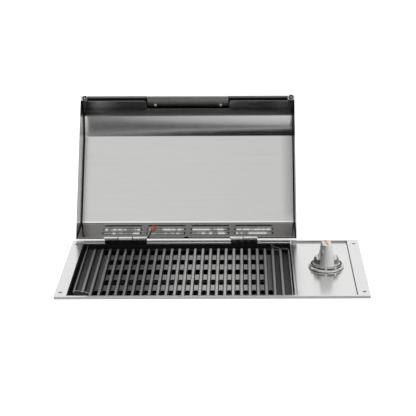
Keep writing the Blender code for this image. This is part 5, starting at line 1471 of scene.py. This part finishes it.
@dataclass(frozen=True)
class Glow:
    """A soft bright part of the studio's dome, seen only in gloss.

    Attributes:
        way: Direction of its middle.
        full: Half angle within which it has its whole strength, in degrees.
        fade: Half angle at which it ends.
        strength: Light that it adds.
    """

    way: Point
    full: float
    fade: float
    strength: float

    def wire(self, tree: Tree, way_to: Socket) -> Socket:
        """Adds the glow's nodes to the world.

        Args:
            tree: The world's tree.
            way_to: Direction of a ray.

        Returns:
            The glow's light.
        """
        facing = tree.add("VectorMath", {0: way_to, 1: Vector(self.way).normalized()},
                          operation="DOT_PRODUCT").outputs["Value"]
        return tree.spread(facing, 0.0, self.strength, math.cos(math.radians(self.fade)),
                           math.cos(math.radians(self.full)))


@dataclass(frozen=True)
class Lamp:
    """One softbox.

    Attributes:
        name: Name of the lamp.
        place: Where it hangs.
        aim: The point it faces.
        size: Its width and height.
        power: Its power in watts.
    """

    name: str
    place: Point
    aim: Point
    size: Pair
    power: float

    def build(self) -> None:
        """Makes the lamp, which gloss doesn't show."""
        data = bpy.data.lights.new(self.name, "AREA")
        data.shape = "RECTANGLE"
        data.size, data.size_y = self.size
        data.energy = self.power
        lamp = bpy.data.objects.new(self.name, data)
        lamp.location = self.place
        lamp.visible_glossy = False
        way = Vector(self.aim) - Vector(self.place)
        lamp.rotation_euler = way.to_track_quat("-Z", "Y").to_euler()
        bpy.context.scene.collection.objects.link(lamp)


@dataclass
class Studio:
    """Worktop, backdrop light, lamps and camera.

    Attributes:
        middle_y: Middle of the cut-out, in metres behind the front flange.
        hole: Half width and half depth of the cut-out.
        reach: Half width of the worktop that is drawn.
        sink: How far the worktop lies below the fascia's underside.
        card_low: Left front corner of the dark card.
        card_high: Its right rear corner.
        card_level: Its height over the worktop.
        diffuse: Light of the dome on matt surfaces.
        rest: Least light of the dome in gloss.
        dim: Share of that light that is left below the horizon in front.
        front: Y of the ways between which the front of the dome ends.
        horizon: Rise of the ways between which the dim part ends.
        band: Light just over the horizon in front.
        band_lean: How far the band's lower border climbs to the left.
        band_foot: Rise between which the band starts.
        band_top: Rise between which it ends.
        glows: The soft bright parts of the dome.
        lamps: The softboxes.
        eye: Place of the camera.
        tilt: Its turn up from looking straight down.
        roll: Its turn to the side.
        lens: Its focal length in millimetres.
        shift: Its sideways lens shift.
    """

    middle_y: float = 0.1444
    hole: Pair = (0.254, 0.1426)
    reach: float = 6.0
    sink: float = 0.0002
    card_low: Pair = (-1.2, -2.4)
    card_high: Pair = (1.3, -0.02)
    card_level: float = 0.0004
    diffuse: float = 0.55
    rest: float = 0.24
    dim: float = 0.12
    front: Pair = (-0.05, 0.15)
    horizon: Pair = (-0.06, 0.22)
    band: float = 0.36
    band_lean: float = 0.85
    band_foot: Pair = (0.045, 0.065)
    band_top: Pair = (0.35, 0.55)
    glows: tuple[Glow, ...] = (Glow((-0.28, -0.59, 0.81), 14.0, 44.0, 0.62),
                               Glow((0.0, 0.97, 0.22), 38.0, 72.0, 0.72),
                               Glow((0.86, -0.2, 0.45), 18.0, 45.0, 0.35),
                               Glow((0.62, -0.76, 0.12), 14.0, 42.0, 0.85))
    lamps: tuple[Lamp, ...] = (
        Lamp("softbox_above", (-0.9, -1.0, 2.6), (0.0, 0.15, 0.0), (3.2, 2.4), 40.0),
        Lamp("softbox_right", (2.4, -0.6, 1.2), (0.0, 0.15, 0.1), (1.2, 1.6), 8.0))
    eye: Point = (0.0533, -2.2814, 0.8654)
    tilt: float = math.radians(72.777)
    roll: float = math.radians(-0.19)
    lens: float = 125.5
    shift: float = -0.0858

    def build(self) -> None:
        """Sets up everything round the grill."""
        self.worktop()
        self.card()
        self.dome()
        for lamp in self.lamps:
            lamp.build()
        self.camera()

    def worktop(self) -> None:
        """Makes the pale worktop with its cut-out."""
        bm = bmesh.new()
        bmesh.ops.create_grid(bm, x_segments=1, y_segments=1, size=1.0)
        bmesh.ops.scale(bm, verts=bm.verts, vec=(*self.hole, 1.0))
        middle = list(bm.faces)
        spread = bmesh.ops.extrude_edge_only(bm, edges=list(bm.edges))
        outer = [vert for vert in spread["geom"] if isinstance(vert, bmesh.types.BMVert)]
        bmesh.ops.scale(bm, verts=outer, vec=(self.reach / self.hole[0], self.reach / self.hole[1], 1.0))
        bmesh.ops.delete(bm, geom=middle, context="FACES_ONLY")
        bmesh.ops.translate(bm, verts=bm.verts, vec=(0.0, self.middle_y, -self.sink))
        bmesh.ops.recalc_face_normals(bm, faces=bm.faces)
        top = made_object(bm, "worktop")
        tree = MaterialTree("pale worktop")
        rays = tree.add("LightPath").outputs
        glow = tree.plus(tree.times(rays["Is Camera Ray"], 0.75), tree.times(rays["Is Glossy Ray"], 0.2))
        tree.shade({"Base Color": (0.78, 0.78, 0.78, 1.0), "Roughness": 0.7,
                    "Emission Color": (1.0, 1.0, 1.0, 1.0), "Emission Strength": glow})
        top.data.materials.append(tree.material)

    def card(self) -> None:
        """Lays a dark card on the worktop that only gloss shows."""
        low, high = Vector(self.card_low), Vector(self.card_high)
        bm = bmesh.new()
        bmesh.ops.create_grid(bm, x_segments=1, y_segments=1, size=0.5)
        bmesh.ops.scale(bm, verts=bm.verts, vec=(*(high - low), 1.0))
        bmesh.ops.translate(bm, verts=bm.verts, vec=(*((low + high) / 2), self.card_level))
        card = made_object(bm, "dark_card")
        tree = MaterialTree("black card")
        tree.shade({"Base Color": (0.01, 0.01, 0.01, 1.0), "Specular IOR Level": 0.0})
        card.data.materials.append(tree.material)
        for rays in ("camera", "diffuse", "shadow", "transmission"):
            setattr(card, "visible_" + rays, False)

    def dome(self) -> None:
        """Makes the studio's dome of light."""
        world = bpy.data.worlds.new("studio")
        bpy.context.scene.world = world
        world.use_nodes = True
        tree = Tree(world.node_tree)
        rays = tree.add("LightPath").outputs
        way_to = tree.add("TexCoord").outputs["Generated"]
        across, along, height = tree.axes(way_to)
        level = tree.plus(self.rest, *(glow.wire(tree, way_to) for glow in self.glows))
        front = tree.fall(along, *self.front)
        above = tree.spread(height, self.dim, 1.0, *self.horizon)
        dome = tree.times(level, tree.most(above, tree.less(1.0, front)))
        rise = tree.plus(height, tree.times(across, self.band_lean))
        band = tree.least(tree.spread(rise, 0.0, self.band, *self.band_foot),
                          tree.spread(height, self.band, 0.0, *self.band_top))
        dome = tree.plus(dome, tree.times(band, front))
        seen = tree.most(rays["Is Glossy Ray"], rays["Is Transmission Ray"])
        plain = tree.most(rays["Is Camera Ray"], self.diffuse)
        strength = tree.plus(tree.times(seen, dome), tree.times(tree.less(1.0, seen), plain))
        tree.feed(world.node_tree.nodes["Background"], {"Color": (1.0, 1.0, 1.0, 1.0),
                                                        "Strength": strength})

    def camera(self) -> None:
        """Sets the camera where the photograph was taken from."""
        data = bpy.data.cameras.new("camera")
        data.lens = self.lens
        data.shift_x = self.shift
        camera = bpy.data.objects.new("camera", data)
        turn = Matrix.Rotation(self.tilt, 4, "X") @ Matrix.Rotation(self.roll, 4, "Z")
        camera.matrix_world = Matrix.Translation(self.eye) @ turn
        bpy.context.scene.collection.objects.link(camera)
        bpy.context.scene.camera = camera


def main() -> None:
    """Builds the sub-assemblies and the studio in order."""
    logging.basicConfig(level=logging.INFO, format="%(name)s: %(message)s")
    bpy.context.scene.view_settings.view_transform = "Standard"
    Studio().build()
    for part in (Fascia("base"), Firebox("base"), Supply("base"), Hinges("base"), Bezel("base"),
                 Grate("grate"), Hood("lid"), ReleasePin("release_pin"), Cam("regulator_cam"),
                 Knob("knob")):
        part.build()


if __name__ == "__main__":
    main()
